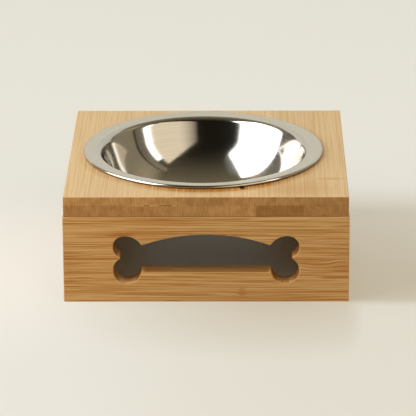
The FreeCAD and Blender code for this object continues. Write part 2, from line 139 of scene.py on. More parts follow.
class Graph:
    """A shader node tree that is filled node by node."""

    def __init__(self, tree: bpy.types.NodeTree) -> None:
        """Take the tree to fill."""
        self.tree = tree

    def feed(self, socket: Socket, feed: Feed) -> None:
        """Link a socket to another one, or set its value.

        Args:
            socket: The input socket.
            feed: What goes into it.
        """
        if isinstance(feed, Socket):
            self.tree.links.new(feed, socket)
        else:
            socket.default_value = feed

    def add(
        self, kind: str, feeds: dict[str | int, Feed] | None = None, **settings: object
    ) -> bpy.types.Node:
        """Add a node.

        Args:
            kind: Blender's name of the node type.
            feeds: Values or sockets for its inputs, by name or number.
            settings: Attributes of the node, set before its inputs.

        Returns:
            The new node.
        """
        node = self.tree.nodes.new(kind)
        for name, setting in settings.items():
            setattr(node, name, setting)
        for socket, feed in (feeds or {}).items():
            self.feed(node.inputs[socket], feed)
        return node

    def math(self, operation: str, first: Feed, second: Feed = 0.0, third: Feed = 0.0) -> Socket:
        """Work out one step of arithmetic on values."""
        feeds = {0: first, 1: second, 2: third}
        return self.add("ShaderNodeMath", feeds, operation=operation).outputs[0]

    def times(self, value: Feed, *factors: Feed) -> Feed:
        """Multiply values.

        Args:
            value: The first value.
            factors: The values to multiply it by.

        Returns:
            The product.
        """
        for factor in factors:
            value = self.math("MULTIPLY", value, factor)
        return value

    def most(self, value: Feed, *others: Feed) -> Feed:
        """Find the largest of some values.

        Args:
            value: The first value.
            others: The other values.

        Returns:
            The largest value.
        """
        for other in others:
            value = self.math("MAXIMUM", value, other)
        return value

    def line(self, value: Feed, slope: Feed, start: Feed) -> Socket:
        """Give a value times a slope, plus a start."""
        return self.math("MULTIPLY_ADD", value, slope, start)

    def size(self, value: Feed) -> Socket:
        """Give a value without its sign."""
        return self.math("ABSOLUTE", value)

    def vector(self, operation: str, first: Feed, second: Feed = (0.0, 0.0, 0.0)) -> Socket:
        """Work out one step of arithmetic on vectors."""
        return self.add("ShaderNodeVectorMath", {0: first, 1: second}, operation=operation).outputs[0]

    def length(self, vector: Feed) -> Socket:
        """Give the length of a vector."""
        return self.add("ShaderNodeVectorMath", {0: vector}, operation="LENGTH").outputs["Value"]

    def smooth(self, value: Feed, low: Feed, high: Feed) -> Socket:
        """Rise softly from 0 at low to 1 at high."""
        feeds = {"Value": value, "From Min": low, "From Max": high}
        return self.add("ShaderNodeMapRange", feeds, interpolation_type="SMOOTHSTEP").outputs[0]

    def band(self, value: Feed, low: float, high: float, soft: float) -> Feed:
        """Mask the values between two limits, with soft ends."""
        rise = self.smooth(value, low - soft, low + soft)
        return self.times(rise, self.smooth(value, high + soft, high - soft))

    def mix(self, share: Feed, first: Feed, second: Feed, blend: str = "MIX") -> Socket:
        """Blend two colours.

        Args:
            share: How much of the second colour shows, 0 to 1.
            first: The colour underneath.
            second: The colour on top.
            blend: Blender's name of the blend.

        Returns:
            The blended colour.
        """
        feeds = {0: share, 6: first, 7: second}
        return self.add("ShaderNodeMix", feeds, data_type="RGBA", blend_type=blend).outputs[2]

    def tint(self, colour: Feed, tint: Feed) -> Socket:
        """Multiply one colour by another."""
        return self.mix(1.0, colour, tint, "MULTIPLY")

    def ramp(self, value: Feed, stops: list[tuple[float, Colour]]) -> Socket:
        """Turn a value into a colour.

        Args:
            value: The value, 0 to 1.
            stops: Places from 0 to 1 with their colours, in rising order.

        Returns:
            The colour.
        """
        node = self.add("ShaderNodeValToRGB", {0: value})
        elements = node.color_ramp.elements
        while len(elements) < len(stops):
            elements.new(1.0)
        for element, (place, colour) in zip(elements, stops):
            element.position = place
            element.color = colour
        return node.outputs[0]

    def split(self, vector: Feed) -> tuple[Socket, Socket, Socket]:
        """Give the three parts of a vector."""
        return tuple(self.add("ShaderNodeSeparateXYZ", {0: vector}).outputs)

    def join(self, x: Feed, y: Feed, z: Feed) -> Socket:
        """Make a vector of three values."""
        return self.add("ShaderNodeCombineXYZ", {0: x, 1: y, 2: z}).outputs[0]

    def group(self, effect: "type[Effect]", feeds: dict[str, Feed]) -> Masks:
        """Place an effect's node group and give its outputs by name."""
        node = self.add("ShaderNodeGroup", feeds, node_tree=effect.tree())
        return {socket.name: socket for socket in node.outputs}


@dataclass(frozen=True)
class Cloud:
    """A cloudy mask that rises between two levels of noise; without levels it is the noise itself."""

    scale: Triple
    detail: float
    roughness: float = 0.5
    levels: Pair | None = (0.3, 0.7)

    def draw(self, graph: Graph, place: Feed) -> Socket:
        """Draw the mask.

        Args:
            graph: The graph to draw in.
            place: The place, which the scale stretches.

        Returns:
            The mask.
        """
        stretched = graph.vector("MULTIPLY", place, self.scale)
        feeds = {"Vector": stretched, "Scale": 1.0, "Detail": self.detail, "Roughness": self.roughness}
        noise = graph.add("ShaderNodeTexNoise", feeds, noise_dimensions="3D").outputs[0]
        return graph.smooth(noise, *self.levels) if self.levels else noise


class Effect:
    """A shader node group that several finishes share, built once."""

    name: str = ""
    inputs: dict[str, str] = {}
    outputs: dict[str, str] = {}

    @classmethod
    def tree(cls) -> bpy.types.NodeTree:
        """Give the group, and build it the first time.

        Returns:
            The group's node tree.
        """
        known = bpy.data.node_groups.get(cls.name)
        if known:
            return known
        tree = bpy.data.node_groups.new(cls.name, "ShaderNodeTree")
        for side, sockets in (("INPUT", cls.inputs), ("OUTPUT", cls.outputs)):
            for name, kind in sockets.items():
                tree.interface.new_socket(name=name, in_out=side, socket_type=f"NodeSocket{kind}")
        graph = Graph(tree)
        entry = graph.add("NodeGroupInput")
        results = cls.draw(graph, {socket.name: socket for socket in entry.outputs if socket.name})
        graph.add("NodeGroupOutput", results)
        return tree

    @classmethod
    def draw(cls, graph: Graph, entry: Masks) -> dict[str, Feed]:
        """Fill the group; each effect has its own way."""
        raise NotImplementedError


class FibreEffect(Effect):
    """Bamboo fibres: long thin lines, broad streaks, tapered flames and short flecks along a board.

    Place is in millimetres along, across and through the board.
    """

    name = "bamboo_fibres"
    inputs = {"Place": "Vector", "Line Width": "Float", "Line Length": "Float", "Wander": "Float"}
    outputs = {
        "Lines": "Float",
        "Streaks": "Float",
        "Flames": "Float",
        "Flecks": "Float",
        "Across": "Float",
    }
    drift = Cloud((0.012, 0.06, 0.06), 1.0, levels=None)
    clouds = {
        "Lines": Cloud((1.0, 1.0, 1.0), 3.0, 0.62, (0.28, 0.72)),
        "Streaks": Cloud((0.6, 0.22, 0.22), 1.0),
        "Flames": Cloud((1.1, 0.92, 0.92), 2.0, 0.7, (0.55, 0.63)),
        "Flecks": Cloud((9.0, 3.1, 3.1), 1.0, levels=(0.6, 0.76)),
    }

    @classmethod
    def draw(cls, graph: Graph, entry: Masks) -> dict[str, Feed]:
        """Draw the fibres.

        Args:
            graph: The group's graph.
            entry: The group's inputs by name.

        Returns:
            The group's outputs by name.
        """
        drift = graph.math("SUBTRACT", cls.drift.draw(graph, entry["Place"]), NOISE_MIDDLE)
        along, across, through = graph.split(entry["Place"])
        across = graph.math("ADD", across, graph.times(drift, entry["Wander"]))
        fine = graph.join(
            graph.math("DIVIDE", along, entry["Line Length"]),
            graph.math("DIVIDE", across, entry["Line Width"]),
            graph.math("DIVIDE", through, entry["Line Width"]),
        )
        masks = {name: cloud.draw(graph, fine) for name, cloud in cls.clouds.items()}
        return {**masks, "Across": across}


class EndGrainEffect(Effect):
    """Cut ends of bamboo fibres: small dots that crowd together, upright strokes and soft bands."""

    name = "bamboo_end_grain"
    inputs = {"Place": "Vector"}
    outputs = {"Dots": "Float", "Strokes": "Float", "Clouds": "Float"}
    dot_scale = 1.25
    dot_chance = 0.9
    dot_levels = (0.5, 0.12)
    clouds = {
        "Strokes": Cloud((0.0, 1.3, 0.14), 2.0, 0.6),
        "Clouds": Cloud((0.0, 0.2, 0.16), 2.0),
    }

    @classmethod
    def draw(cls, graph: Graph, entry: Masks) -> dict[str, Feed]:
        """Draw the cut ends.

        Args:
            graph: The group's graph.
            entry: The group's inputs by name.

        Returns:
            The group's outputs by name.
        """
        flat = graph.vector("MULTIPLY", entry["Place"], (0.0, 1.0, 1.0))
        feeds = {"Vector": flat, "Scale": cls.dot_scale, "Randomness": cls.dot_chance}
        cells = graph.add("ShaderNodeTexVoronoi", feeds)
        masks = {name: cloud.draw(graph, entry["Place"]) for name, cloud in cls.clouds.items()}
        return {**masks, "Dots": graph.smooth(cells.outputs[0], *cls.dot_levels)}


class SpotEffect(Effect):
    """A soft oval spot."""

    name = "soft_spot"
    inputs = {"Place": "Vector", "Centre": "Vector", "Reach": "Vector"}
    outputs = {"Mask": "Float"}

    @classmethod
    def draw(cls, graph: Graph, entry: Masks) -> dict[str, Feed]:
        """Draw the spot."""
        away = graph.vector("SUBTRACT", entry["Place"], entry["Centre"])
        return {"Mask": graph.smooth(graph.length(graph.vector("DIVIDE", away, entry["Reach"])), 1.0, 0.0)}


class SpinEffect(Effect):
    """Fine rings that a polishing wheel leaves on spun steel, with faint finger smears.

    Place is in millimetres from the bowl's axis.
    """

    name = "spun_steel_rings"
    inputs = {"Place": "Vector", "Ring Width": "Float"}
    outputs = {"Rings": "Float", "Smears": "Float", "Waves": "Float"}
    turn_scale = 0.8
    rings = Cloud((1.0, 1.0, 1.0), 2.0, 0.7, (0.25, 0.75))
    clouds = {
        "Smears": Cloud((0.05, 0.08, 0.08), 3.0, levels=(0.45, 0.75)),
        "Waves": Cloud((0.035, 0.035, 0.035), 1.0, levels=None),
    }

    @classmethod
    def draw(cls, graph: Graph, entry: Masks) -> dict[str, Feed]:
        """Draw the rings and smears.

        Args:
            graph: The group's graph.
            entry: The group's inputs by name.

        Returns:
            The group's outputs by name.
        """
        x, y, z = graph.split(entry["Place"])
        radius = graph.length(graph.vector("MULTIPLY", entry["Place"], FLAT))
        ring = graph.join(
            graph.math("DIVIDE", radius, entry["Ring Width"]),
            graph.math("DIVIDE", z, entry["Ring Width"]),
            graph.times(graph.math("ARCTAN2", y, x), cls.turn_scale),
        )
        masks = {name: cloud.draw(graph, entry["Place"]) for name, cloud in cls.clouds.items()}
        return {**masks, "Rings": cls.rings.draw(graph, ring)}


@dataclass(frozen=True)
class Spot:
    """A soft oval spot: its centre and its reach, in the unit of the place it is drawn at."""

    centre: Triple
    reach: Triple

    def draw(self, graph: Graph, place: Feed) -> Socket:
        """Draw the spot's mask."""
        feeds = {"Place": place, "Centre": self.centre, "Reach": self.reach}
        return graph.group(SpotEffect, feeds)["Mask"]


class Grain(Enum):
    """How a board's fibres lie; the value names the part axes along, across and through the board."""

    TOP = (1, 0, 2)
    FACE = (0, 2, 1)
    SIDE = (1, 2, 0)


@dataclass(frozen=True)
class Knuckle:
    """A culm node on a board: a soft dark smudge that bends the fibres.

    Places and sizes are in millimetres along and across the board.
    """

    along: float
    across: float
    length: float
    width: float
    strength: float
    lift: float = 0.0

    @property
    def spot(self) -> Spot:
        """Give the smudge's oval."""
        return Spot((self.along, self.across, 0.0), (self.length, self.width, 1.0))


@dataclass(frozen=True)
class Finish:
    """A finish that makes one Blender material."""

    name: str

    def start(self) -> tuple[bpy.types.Material, Graph, bpy.types.Node]:
        """Open a new material.

        Returns:
            The material, its graph and its Principled shader.
        """
        material = bpy.data.materials.new(self.name)
        material.use_nodes = True
        graph = Graph(material.node_tree)
        shader = material.node_tree.nodes["Principled BSDF"]
        return material, graph, shader

    @staticmethod
    def raise_surface(graph: Graph, shader: bpy.types.Node, height: Feed, depth: float) -> None:
        """Give a shader a bump.

        Args:
            graph: The material's graph.
            shader: The shader to bump.
            height: The height, 0 to 1.
            depth: The depth of that range in metres.
        """
        bump = graph.add("ShaderNodeBump", {"Height": height, "Distance": depth, "Strength": 1.0})
        graph.feed(shader.inputs["Normal"], bump.outputs[0])


@dataclass(frozen=True)
class BambooFinish(Finish):
    """What all boards and dowels share: fibres, culm nodes, cut ends, eased edges and a thin matt lacquer.

    Offset is where on the long culm the board was cut, and drift is how much its face deepens from one end
    to the other. Lengths are in millimetres, apart from the relief.
    """

    grain: Grain
    pale: Colour
    middle: Colour
    deep: Colour
    cut_end: Colour
    line_width: float
    line_length: float
    wander: float
    mark: Colour = srgb(146, 86, 25)
    streak_share: float = 0.35
    tone_stops: Triple = (0.18, 0.5, 0.85)
    knuckles: tuple[Knuckle, ...] = ()
    offset: float = 0.0
    offset_slant: float = 0.37
    drift: float = 0.0
    drift_span: Pair = (-75.0, 10.0)
    end_levels: Pair = (0.35, 0.8)
    end_dark: Triple = (0.73, 0.66, 0.54)
    end_pale: Triple = (1.2, 1.2, 1.2)
    stroke_share: float = 0.5
    dot_share: float = 0.3
    ease_levels: Pair = (0.06, 0.25)
    roughness: float = 0.52
    line_gloss: float = -0.08
    end_roughness: float = 0.2
    specular: float = 0.12
    fleck_depth: float = 0.8
    relief: float = 0.03 * MM

    def place(self, graph: Graph) -> tuple[Socket, Socket]:
        """Work out where a point lies on the board.

        Args:
            graph: The material's graph.

        Returns:
            The place along, across and through the board, and the normal in the same order.
        """
        coordinates = graph.add("ShaderNodeTexCoord")
        parts = graph.split(graph.vector("MULTIPLY", coordinates.outputs["Object"], PER_MM))
        sides = graph.split(coordinates.outputs["Normal"])
        order = self.grain.value
        return graph.join(*(parts[i] for i in order)), graph.join(*(sides[i] for i in order))

    def bend(self, graph: Graph, place: Feed) -> tuple[Feed, Feed]:
        """Bend the fibres round the culm nodes.

        Args:
            graph: The material's graph.
            place: The place on the board.

        Returns:
            The bent place, and the dark mask of the nodes.
        """
        dark: Feed = 0.0
        for knuckle in self.knuckles:
            spot = knuckle.spot.draw(graph, graph.vector("MULTIPLY", place, FLAT))
            dark = graph.most(dark, graph.times(spot, knuckle.strength))
            shift = graph.join(0.0, graph.times(spot, knuckle.lift), 0.0)
            place = graph.vector("ADD", place, shift)
        return place, dark

    def fibres(self, graph: Graph, place: Feed) -> Masks:
        """Lay the fibres along the board.

        Args:
            graph: The material's graph.
            place: The bent place on the board.

        Returns:
            The fibre masks by name.
        """
        moved = graph.vector("ADD", place, (self.offset, self.offset * self.offset_slant, 0.0))
        sizes = {"Line Width": self.line_width, "Line Length": self.line_length, "Wander": self.wander}
        return graph.group(FibreEffect, {"Place": moved, **sizes})

    def tones(self, graph: Graph, fibres: Masks) -> Socket:
        """Colour the fibres from pale to deep.

        Args:
            graph: The material's graph.
            fibres: The fibre masks.

        Returns:
            The colour.
        """
        lines = graph.times(fibres["Lines"], 1.0 - self.streak_share)
        value = graph.line(fibres["Streaks"], self.streak_share, lines)
        return graph.ramp(value, list(zip(self.tone_stops, (self.deep, self.middle, self.pale))))

    def drifted(self, graph: Graph, colour: Feed, place: Feed) -> Socket:
        """Let the colour deepen along a way of the board."""
        share = graph.smooth(place, *self.drift_span)
        return graph.mix(share, colour, graph.tint(colour, grey(1.0 - self.drift)))

    def ends(self, graph: Graph, place: Feed, normal: Feed) -> tuple[Socket, Socket]:
        """Draw the cut ends of the board.

        Args:
            graph: The material's graph.
            place: The place on the board.
            normal: The normal in the board's order.

        Returns:
            The mask of the cut ends and their colour.
        """
        grain = graph.group(EndGrainEffect, {"Place": place})
        along, _, _ = graph.split(normal)
        mask = graph.smooth(graph.size(along), *self.end_levels)
        darker, paler = toned(self.cut_end, self.end_dark), toned(self.cut_end, self.end_pale)
        bands = graph.times(grain["Clouds"], 1.0 - self.stroke_share)
        tone = graph.line(grain["Strokes"], self.stroke_share, bands)
        dots = graph.times(grain["Dots"], self.dot_share)
        return mask, graph.mix(dots, graph.mix(tone, darker, paler), darker)

    def eased(self, graph: Graph, normal: Feed) -> Socket:
        """Mask the eased edges, which lie between a face and a side of the board.

        Args:
            graph: The material's graph.
            normal: The normal in the board's order.

        Returns:
            The mask.
        """
        _, _, through = graph.split(normal)
        square = graph.times(through, through)
        between = graph.times(square, graph.math("SUBTRACT", 1.0, square))
        return graph.smooth(between, *self.ease_levels)

    def close(
        self, graph: Graph, shader: bpy.types.Node, colour: Feed, fibres: Masks, end_mask: Feed
    ) -> None:
        """Set the lacquer and the relief, and connect the colour.

        Args:
            graph: The material's graph.
            shader: The Principled shader.
            colour: The finished colour.
            fibres: The fibre masks.
            end_mask: The mask of the cut ends.
        """
        graph.feed(shader.inputs["Base Color"], colour)
        rough = graph.line(fibres["Lines"], self.line_gloss, self.roughness)
        graph.feed(shader.inputs["Roughness"], graph.line(end_mask, self.end_roughness, rough))
        shader.inputs["Specular IOR Level"].default_value = self.specular
        pits = graph.times(fibres["Flecks"], self.fleck_depth)
        self.raise_surface(graph, shader, graph.math("SUBTRACT", fibres["Lines"], pits), self.relief)


@dataclass(frozen=True)
class TopBamboo(BambooFinish):
    """Flat-pressed bamboo: two plies of wide strips, with a glue line that shows at the cut ends.

    Blocks are darker strips at the cut ends: from, to and strength across the board. The ring is painted
    shade round the front of the bowl's hem, where the rim shades the board, and its warm tint deepens the
    bamboo.
    """

    strip_width: float = 28.4
    upper_start: float = -43.9
    lower_start: float = -55.5
    ply_code: float = 17.0
    strip_shift: float = 900.0
    strip_tints: tuple[Colour, Colour] = ((0.965, 0.96, 0.95, 1.0), (1.03, 1.03, 1.02, 1.0))
    end_tints: tuple[Colour, Colour] = ((0.93, 0.93, 0.92, 1.0), (1.05, 1.05, 1.04, 1.0))
    lower_blocks: tuple[Triple, ...] = ((-90.0, -26.8, 0.22), (30.6, 59.3, 0.6), (59.3, 90.0, 0.22))
    upper_blocks: tuple[Triple, ...] = ((-12.0, 40.0, 0.1), (59.3, 90.0, 0.2))
    block_soft: float = 0.2
    block_tone: Colour = (0.17, 0.07, 0.013, 1.0)
    glue_height: float = 62.4
    glue_half: float = 0.25
    glue_soft: float = 0.2
    glue_share: float = 0.12
    glue_and_shade_tone: Colour = (0.1, 0.05, 0.02, 1.0)
    dried_half: float = 0.6
    dried_soft: float = 0.3
    dried_span: Pair = (-46.0, -14.0)
    dried_end: float = 6.0
    dried_share: float = 0.4
    dried_tone: Colour = (0.55, 0.33, 0.1, 1.0)
    cracks: tuple[Pair, ...] = ((-37.5, -34.5), (-28.5, -20.5), (-17.5, -16.5), (68.0, 69.0))
    crack_soft: float = 0.6
    crack_share: float = 0.95
    crack_tone: Colour = (0.03, 0.015, 0.006, 1.0)
    # The seam fields darken the board's lowest edge: painted shade where it meets the panels.
    seam_height: float = 55.0
    seam_rise: float = 0.9
    seam_share: float = 0.75
    fleck: Spot = Spot((-70.4, 22.2, 0.0), (2.2, 2.4, 900.0))
    fleck_level: float = 0.3
    fleck_tone: Colour = (0.012, 0.008, 0.005, 1.0)
    # The ring fields shape the painted shade that the bowl's rim throws on the board round its front.
    ring_centre: Pair = (0.0, 0.0)
    ring_radius: float = 76.0
    ring_width: float = 9.0
    ring_ragged: float = 0.6
    ring_full: float = 2.6
    ring_inner: Pair = (3.0, 1.0)
    ring_front: Pair = (15.0, -45.0)
    ring_left: Pair = (-50.0, -8.0)
    ring_left_least: float = 0.3
    ring_right: Pair = (95.0, 16.0)
    ring_strength: float = 1.5
    ring_line_loss: float = -1.0
    rim_shade_tint: Colour = (0.72, 0.45, 0.12, 1.0)
    ease_share: float = 0.35

    def strips(self, graph: Graph, place: Feed) -> tuple[Socket, Socket]:
        """Number the strips of both plies.

        Args:
            graph: The material's graph.
            place: The place on the board.

        Returns:
            A random value for each strip, and the mask of the upper ply.
        """
        _, across, through = graph.split(place)
        upper = graph.math("GREATER_THAN", through, self.glue_height)
        start = graph.line(upper, self.upper_start - self.lower_start, self.lower_start)
        number = graph.math("DIVIDE", graph.math("SUBTRACT", across, start), self.strip_width)
        code = graph.line(upper, self.ply_code, graph.math("FLOOR", number))
        chance = graph.add("ShaderNodeTexWhiteNoise", {"W": code}, noise_dimensions="1D")
        return chance.outputs["Value"], upper

    def rim_shade(self, graph: Graph, place: Feed, fibres: Masks) -> Feed:
        """Mask the painted shade round the front of the bowl's hem, ragged along the fibres.

        Args:
            graph: The material's graph.
            place: The place on the board.
            fibres: The fibre masks.

        Returns:
            The strength of the painted shade.
        """
        away = graph.vector("SUBTRACT", place, (*self.ring_centre, 0.0))
        radius = graph.length(graph.vector("MULTIPLY", away, FLAT))
        fringe = self.ring_width * self.ring_ragged
        ragged = graph.line(fibres["Lines"], fringe, self.ring_radius)
        limit = graph.math("ADD", ragged, fringe)
        outer = graph.smooth(radius, limit, self.ring_radius + self.ring_full)
        inner = graph.smooth(radius, *(self.ring_radius - n * self.ring_width for n in self.ring_inner))
        along, across, _ = graph.split(away)
        front = graph.smooth(along, *self.ring_front)
        left = graph.smooth(across, *self.ring_left)
        left = graph.line(left, 1.0 - self.ring_left_least, self.ring_left_least)
        right = graph.smooth(across, *self.ring_right)
        dark = graph.line(fibres["Lines"], self.ring_line_loss, self.ring_strength)
        return graph.times(outer, inner, front, left, right, dark)

    def face(self, graph: Graph, place: Feed, fibres: Masks, chance: Feed, knuckles: Feed) -> Socket:
        """Colour the board's face.

        Args:
            graph: The material's graph.
            place: The place on the board.
            fibres: The fibre masks.
            chance: The random value of each strip.
            knuckles: The dark mask of the culm nodes.

        Returns:
            The colour.
        """
        colour = graph.tint(self.tones(graph, fibres), graph.mix(chance, *self.strip_tints))
        colour = graph.mix(knuckles, colour, self.mark)
        # Painted shade: the board darkens and warms in a ring round the front of the bowl's hem.
        damp = graph.tint(colour, self.rim_shade_tint)
        colour = graph.mix(self.rim_shade(graph, place, fibres), colour, damp)
        fleck = graph.smooth(self.fleck.draw(graph, place), 0.0, self.fleck_level)
        return graph.mix(fleck, colour, self.fleck_tone)

    def plies(self, graph: Graph, place: Feed, colour: Feed, chance: Feed, upper: Feed) -> Socket:
        """Colour the strips, the glue line and the painted shade along the lower edge at the cut ends.

        Args:
            graph: The material's graph.
            place: The place on the board.
            colour: The colour of the cut ends so far.
            chance: The random value of each strip.
            upper: The mask of the upper ply.

        Returns:
            The changed colour.
        """
        along, across, through = graph.split(place)
        colour = graph.tint(colour, graph.mix(chance, *self.end_tints))
        colour = self.drifted(graph, colour, across)
        lower = graph.math("SUBTRACT", 1.0, upper)
        for ply, blocks in ((lower, self.lower_blocks), (upper, self.upper_blocks)):
            for start, end, strength in blocks:
                block = graph.band(across, start, end, self.block_soft)
                colour = graph.mix(graph.times(block, ply, strength), colour, self.block_tone)
        low, high = self.glue_height - self.glue_half, self.glue_height + self.glue_half
        glue = graph.band(through, low, high, self.glue_soft)
        low, high = self.glue_height - self.dried_half, self.glue_height + self.dried_half
        dried = graph.band(through, low, high, self.dried_soft)
        dried = graph.times(dried, graph.band(across, *self.dried_span, self.dried_end), self.dried_share)
        colour = graph.mix(dried, colour, self.dried_tone)
        # Painted shade along the lowest edge of the cut ends, where the board meets the panels; the glue line
        # is real.
        seam = graph.smooth(through, self.seam_height + self.seam_rise, self.seam_height)
        shade = graph.most(graph.times(glue, self.glue_share), graph.times(seam, self.seam_share))
        colour = graph.mix(shade, colour, self.glue_and_shade_tone)
        split = graph.most(*(graph.band(across, *crack, self.crack_soft) for crack in self.cracks))
        front = graph.math("LESS_THAN", along, 0.0)
        return graph.mix(graph.times(split, front, glue, self.crack_share), colour, self.crack_tone)

    def material(self) -> bpy.types.Material:
        """Make the material.

        Returns:
            The finished material.
        """
        material, graph, shader = self.start()
        place, normal = self.place(graph)
        chance, upper = self.strips(graph, place)
        bent, knuckles = self.bend(graph, place)
        shift = graph.join(graph.times(chance, self.strip_shift), 0.0, 0.0)
        fibres = self.fibres(graph, graph.vector("ADD", bent, shift))
        colour = self.face(graph, place, fibres, chance, knuckles)
        end_mask, end_colour = self.ends(graph, place, normal)
        colour = graph.mix(end_mask, colour, self.plies(graph, place, end_colour, chance, upper))
        # Paler eased edges: partly sanding wear and partly a painted highlight.
        colour = graph.mix(graph.times(self.eased(graph, normal), self.ease_share), colour, self.pale)
        self.close(graph, shader, colour, fibres, end_mask)
        return material


@dataclass(frozen=True)
class PanelBamboo(BambooFinish):
    """Side-pressed bamboo: thin strips on edge, with dark fibre lines at their seams.

    The lines are heights with their strengths. The walls of the cut-out are toned as saw burn and painted
    shade, darker deeper in than near the face, and near the face in its knobs painted light makes them paler
    than the bamboo.
    """

    lines: tuple[Pair, ...] = ()
    line_half: float = 0.45
    line_fade: float = -0.7
    height: float = 55.0
    flame_share: float = 0.9
    wall_levels: Pair = (0.4, 0.1)
    wall_depths: Pair = (86.0, 75.0)
    wall_edge: Colour = (0.87, 0.8, 0.66, 1.0)
    wall_deep: Colour = (0.58, 0.5, 0.4, 1.0)
    # Painted light: a tint above one that makes the knobs' walls paler than the bamboo.
    knob_painted_light: Colour = (1.6, 1.62, 1.62, 1.0)
    knob_start: Pair = (37.0, 39.5)
    knob_rise: Pair = (1.0, 4.0)
    # Colour of the eased edges: partly sanding wear and partly a painted highlight.
    outline: Colour = (0.62, 0.36, 0.13, 1.0)
    ease_share: float = 0.7

    def seam_lines(self, graph: Graph, across: Feed) -> Socket:
        """Draw the dark lines at their heights on the board.

        Args:
            graph: The material's graph.
            across: The bent height on the board.

        Returns:
            The strength of the lines.
        """
        stops: list[tuple[float, Colour]] = []
        for height, strength in self.lines:
            for step, level in ((-self.line_half, 0.0), (0.0, strength), (self.line_half, 0.0)):
                stops.append(((height + step) / self.height, grey(level)))
        return graph.ramp(graph.math("DIVIDE", across, self.height), stops)

    def wall_burn_and_light(self, graph: Graph, colour: Feed, place: Feed, normal: Feed) -> Socket:
        """Tone the sawn walls of the cut-out and the board's edges: saw burn with painted shade deeper in,
        and painted light in the knobs.

        Args:
            graph: The material's graph.
            colour: The colour so far.
            place: The place on the board.
            normal: The normal in the board's order.

        Returns:
            The changed colour.
        """
        along, across, through = graph.split(place)
        # Saw burn and painted shade, darker deeper in; painted light near the face in the knobs.
        depth = graph.smooth(graph.size(through), *self.wall_depths)
        knobs = graph.smooth(graph.size(along), *self.knob_start)
        knobs = graph.times(knobs, graph.smooth(across, *self.knob_rise))
        edge = graph.mix(knobs, self.wall_edge, self.knob_painted_light)
        burn_and_light = graph.tint(colour, graph.mix(depth, edge, self.wall_deep))
        _, _, facing = graph.split(normal)
        return graph.mix(graph.smooth(graph.size(facing), *self.wall_levels), colour, burn_and_light)

    def material(self) -> bpy.types.Material:
        """Make the material.

        Returns:
            The finished material.
        """
        material, graph, shader = self.start()
        place, normal = self.place(graph)
        bent, knuckles = self.bend(graph, place)
        fibres = self.fibres(graph, bent)
        height = graph.math("SUBTRACT", fibres["Across"], self.offset * self.offset_slant)
        fade = graph.line(fibres["Streaks"], self.line_fade, 1.0)
        seam = graph.times(self.seam_lines(graph, height), fade)
        flames = graph.times(fibres["Flames"], self.flame_share)
        colour = graph.mix(graph.most(seam, flames), self.tones(graph, fibres), self.mark)
        along, _, _ = graph.split(place)
        # On the front panel this is painted shade of the softbox's light falling off towards the right.
        colour = self.drifted(graph, colour, along)
        colour = graph.mix(knuckles, colour, self.mark)
        colour = self.wall_burn_and_light(graph, colour, place, normal)
        end_mask, end_colour = self.ends(graph, place, normal)
        colour = graph.mix(end_mask, colour, end_colour)
        # Paler eased edges: partly sanding wear and partly a painted highlight.
        colour = graph.mix(graph.times(self.eased(graph, normal), self.ease_share), colour, self.outline)
        self.close(graph, shader, colour, fibres, end_mask)
        return material


@dataclass(frozen=True)
class DowelWood(BambooFinish):
    """Plain beech of the hidden dowels, with short dark rays."""

    ray_share: float = 0.5

    def material(self) -> bpy.types.Material:
        """Make the material.

        Returns:
            The finished material.
        """
        material, graph, shader = self.start()
        place, normal = self.place(graph)
        fibres = self.fibres(graph, place)
        rays = graph.times(fibres["Flecks"], self.ray_share)
        colour = graph.mix(rays, self.tones(graph, fibres), self.cut_end)
        end_mask, end_colour = self.ends(graph, place, normal)
        colour = graph.mix(end_mask, colour, end_colour)
        self.close(graph, shader, colour, fibres, end_mask)
        return material


@dataclass(frozen=True)
class SteelFinish(Finish):
    """Stainless steel with polishing rings, and with a small near-black speck where one is given.

    The ring width and the speck are in millimetres from the bowl's axis, the relief and the axis in metres.
    """

    colour: Colour
    roughness: float
    ring_roughness: float
    smear_roughness: float
    ring_width: float
    relief: float
    axis: Pair
    dull: Triple = (0.9, 0.9, 0.9)
    ring_relief: float = 0.02
    speck: Spot | None = None
    speck_level: float = 0.25
    speck_tone: Colour = (0.008, 0.006, 0.004, 1.0)

    def material(self) -> bpy.types.Material:
        """Make the material.

        Returns:
            The finished material.
        """
        material, graph, shader = self.start()
        coordinates = graph.add("ShaderNodeTexCoord")
        centred = graph.vector("SUBTRACT", coordinates.outputs["Object"], (*self.axis, 0.0))
        place = graph.vector("MULTIPLY", centred, PER_MM)
        spin = graph.group(SpinEffect, {"Place": place, "Ring Width": self.ring_width})
        colour = graph.mix(spin["Rings"], toned(self.colour, self.dull), self.colour)
        if self.speck:
            dirt = graph.smooth(self.speck.draw(graph, place), 0.0, self.speck_level)
            colour = graph.mix(dirt, colour, self.speck_tone)
        graph.feed(shader.inputs["Base Color"], colour)
        rough = graph.line(spin["Rings"], self.ring_roughness, self.roughness)
        graph.feed(shader.inputs["Roughness"], graph.line(spin["Smears"], self.smear_roughness, rough))
        shader.inputs["Metallic"].default_value = 1.0
        height = graph.line(spin["Rings"], self.ring_relief, spin["Waves"])
        self.raise_surface(graph, shader, height, self.relief)
        return material


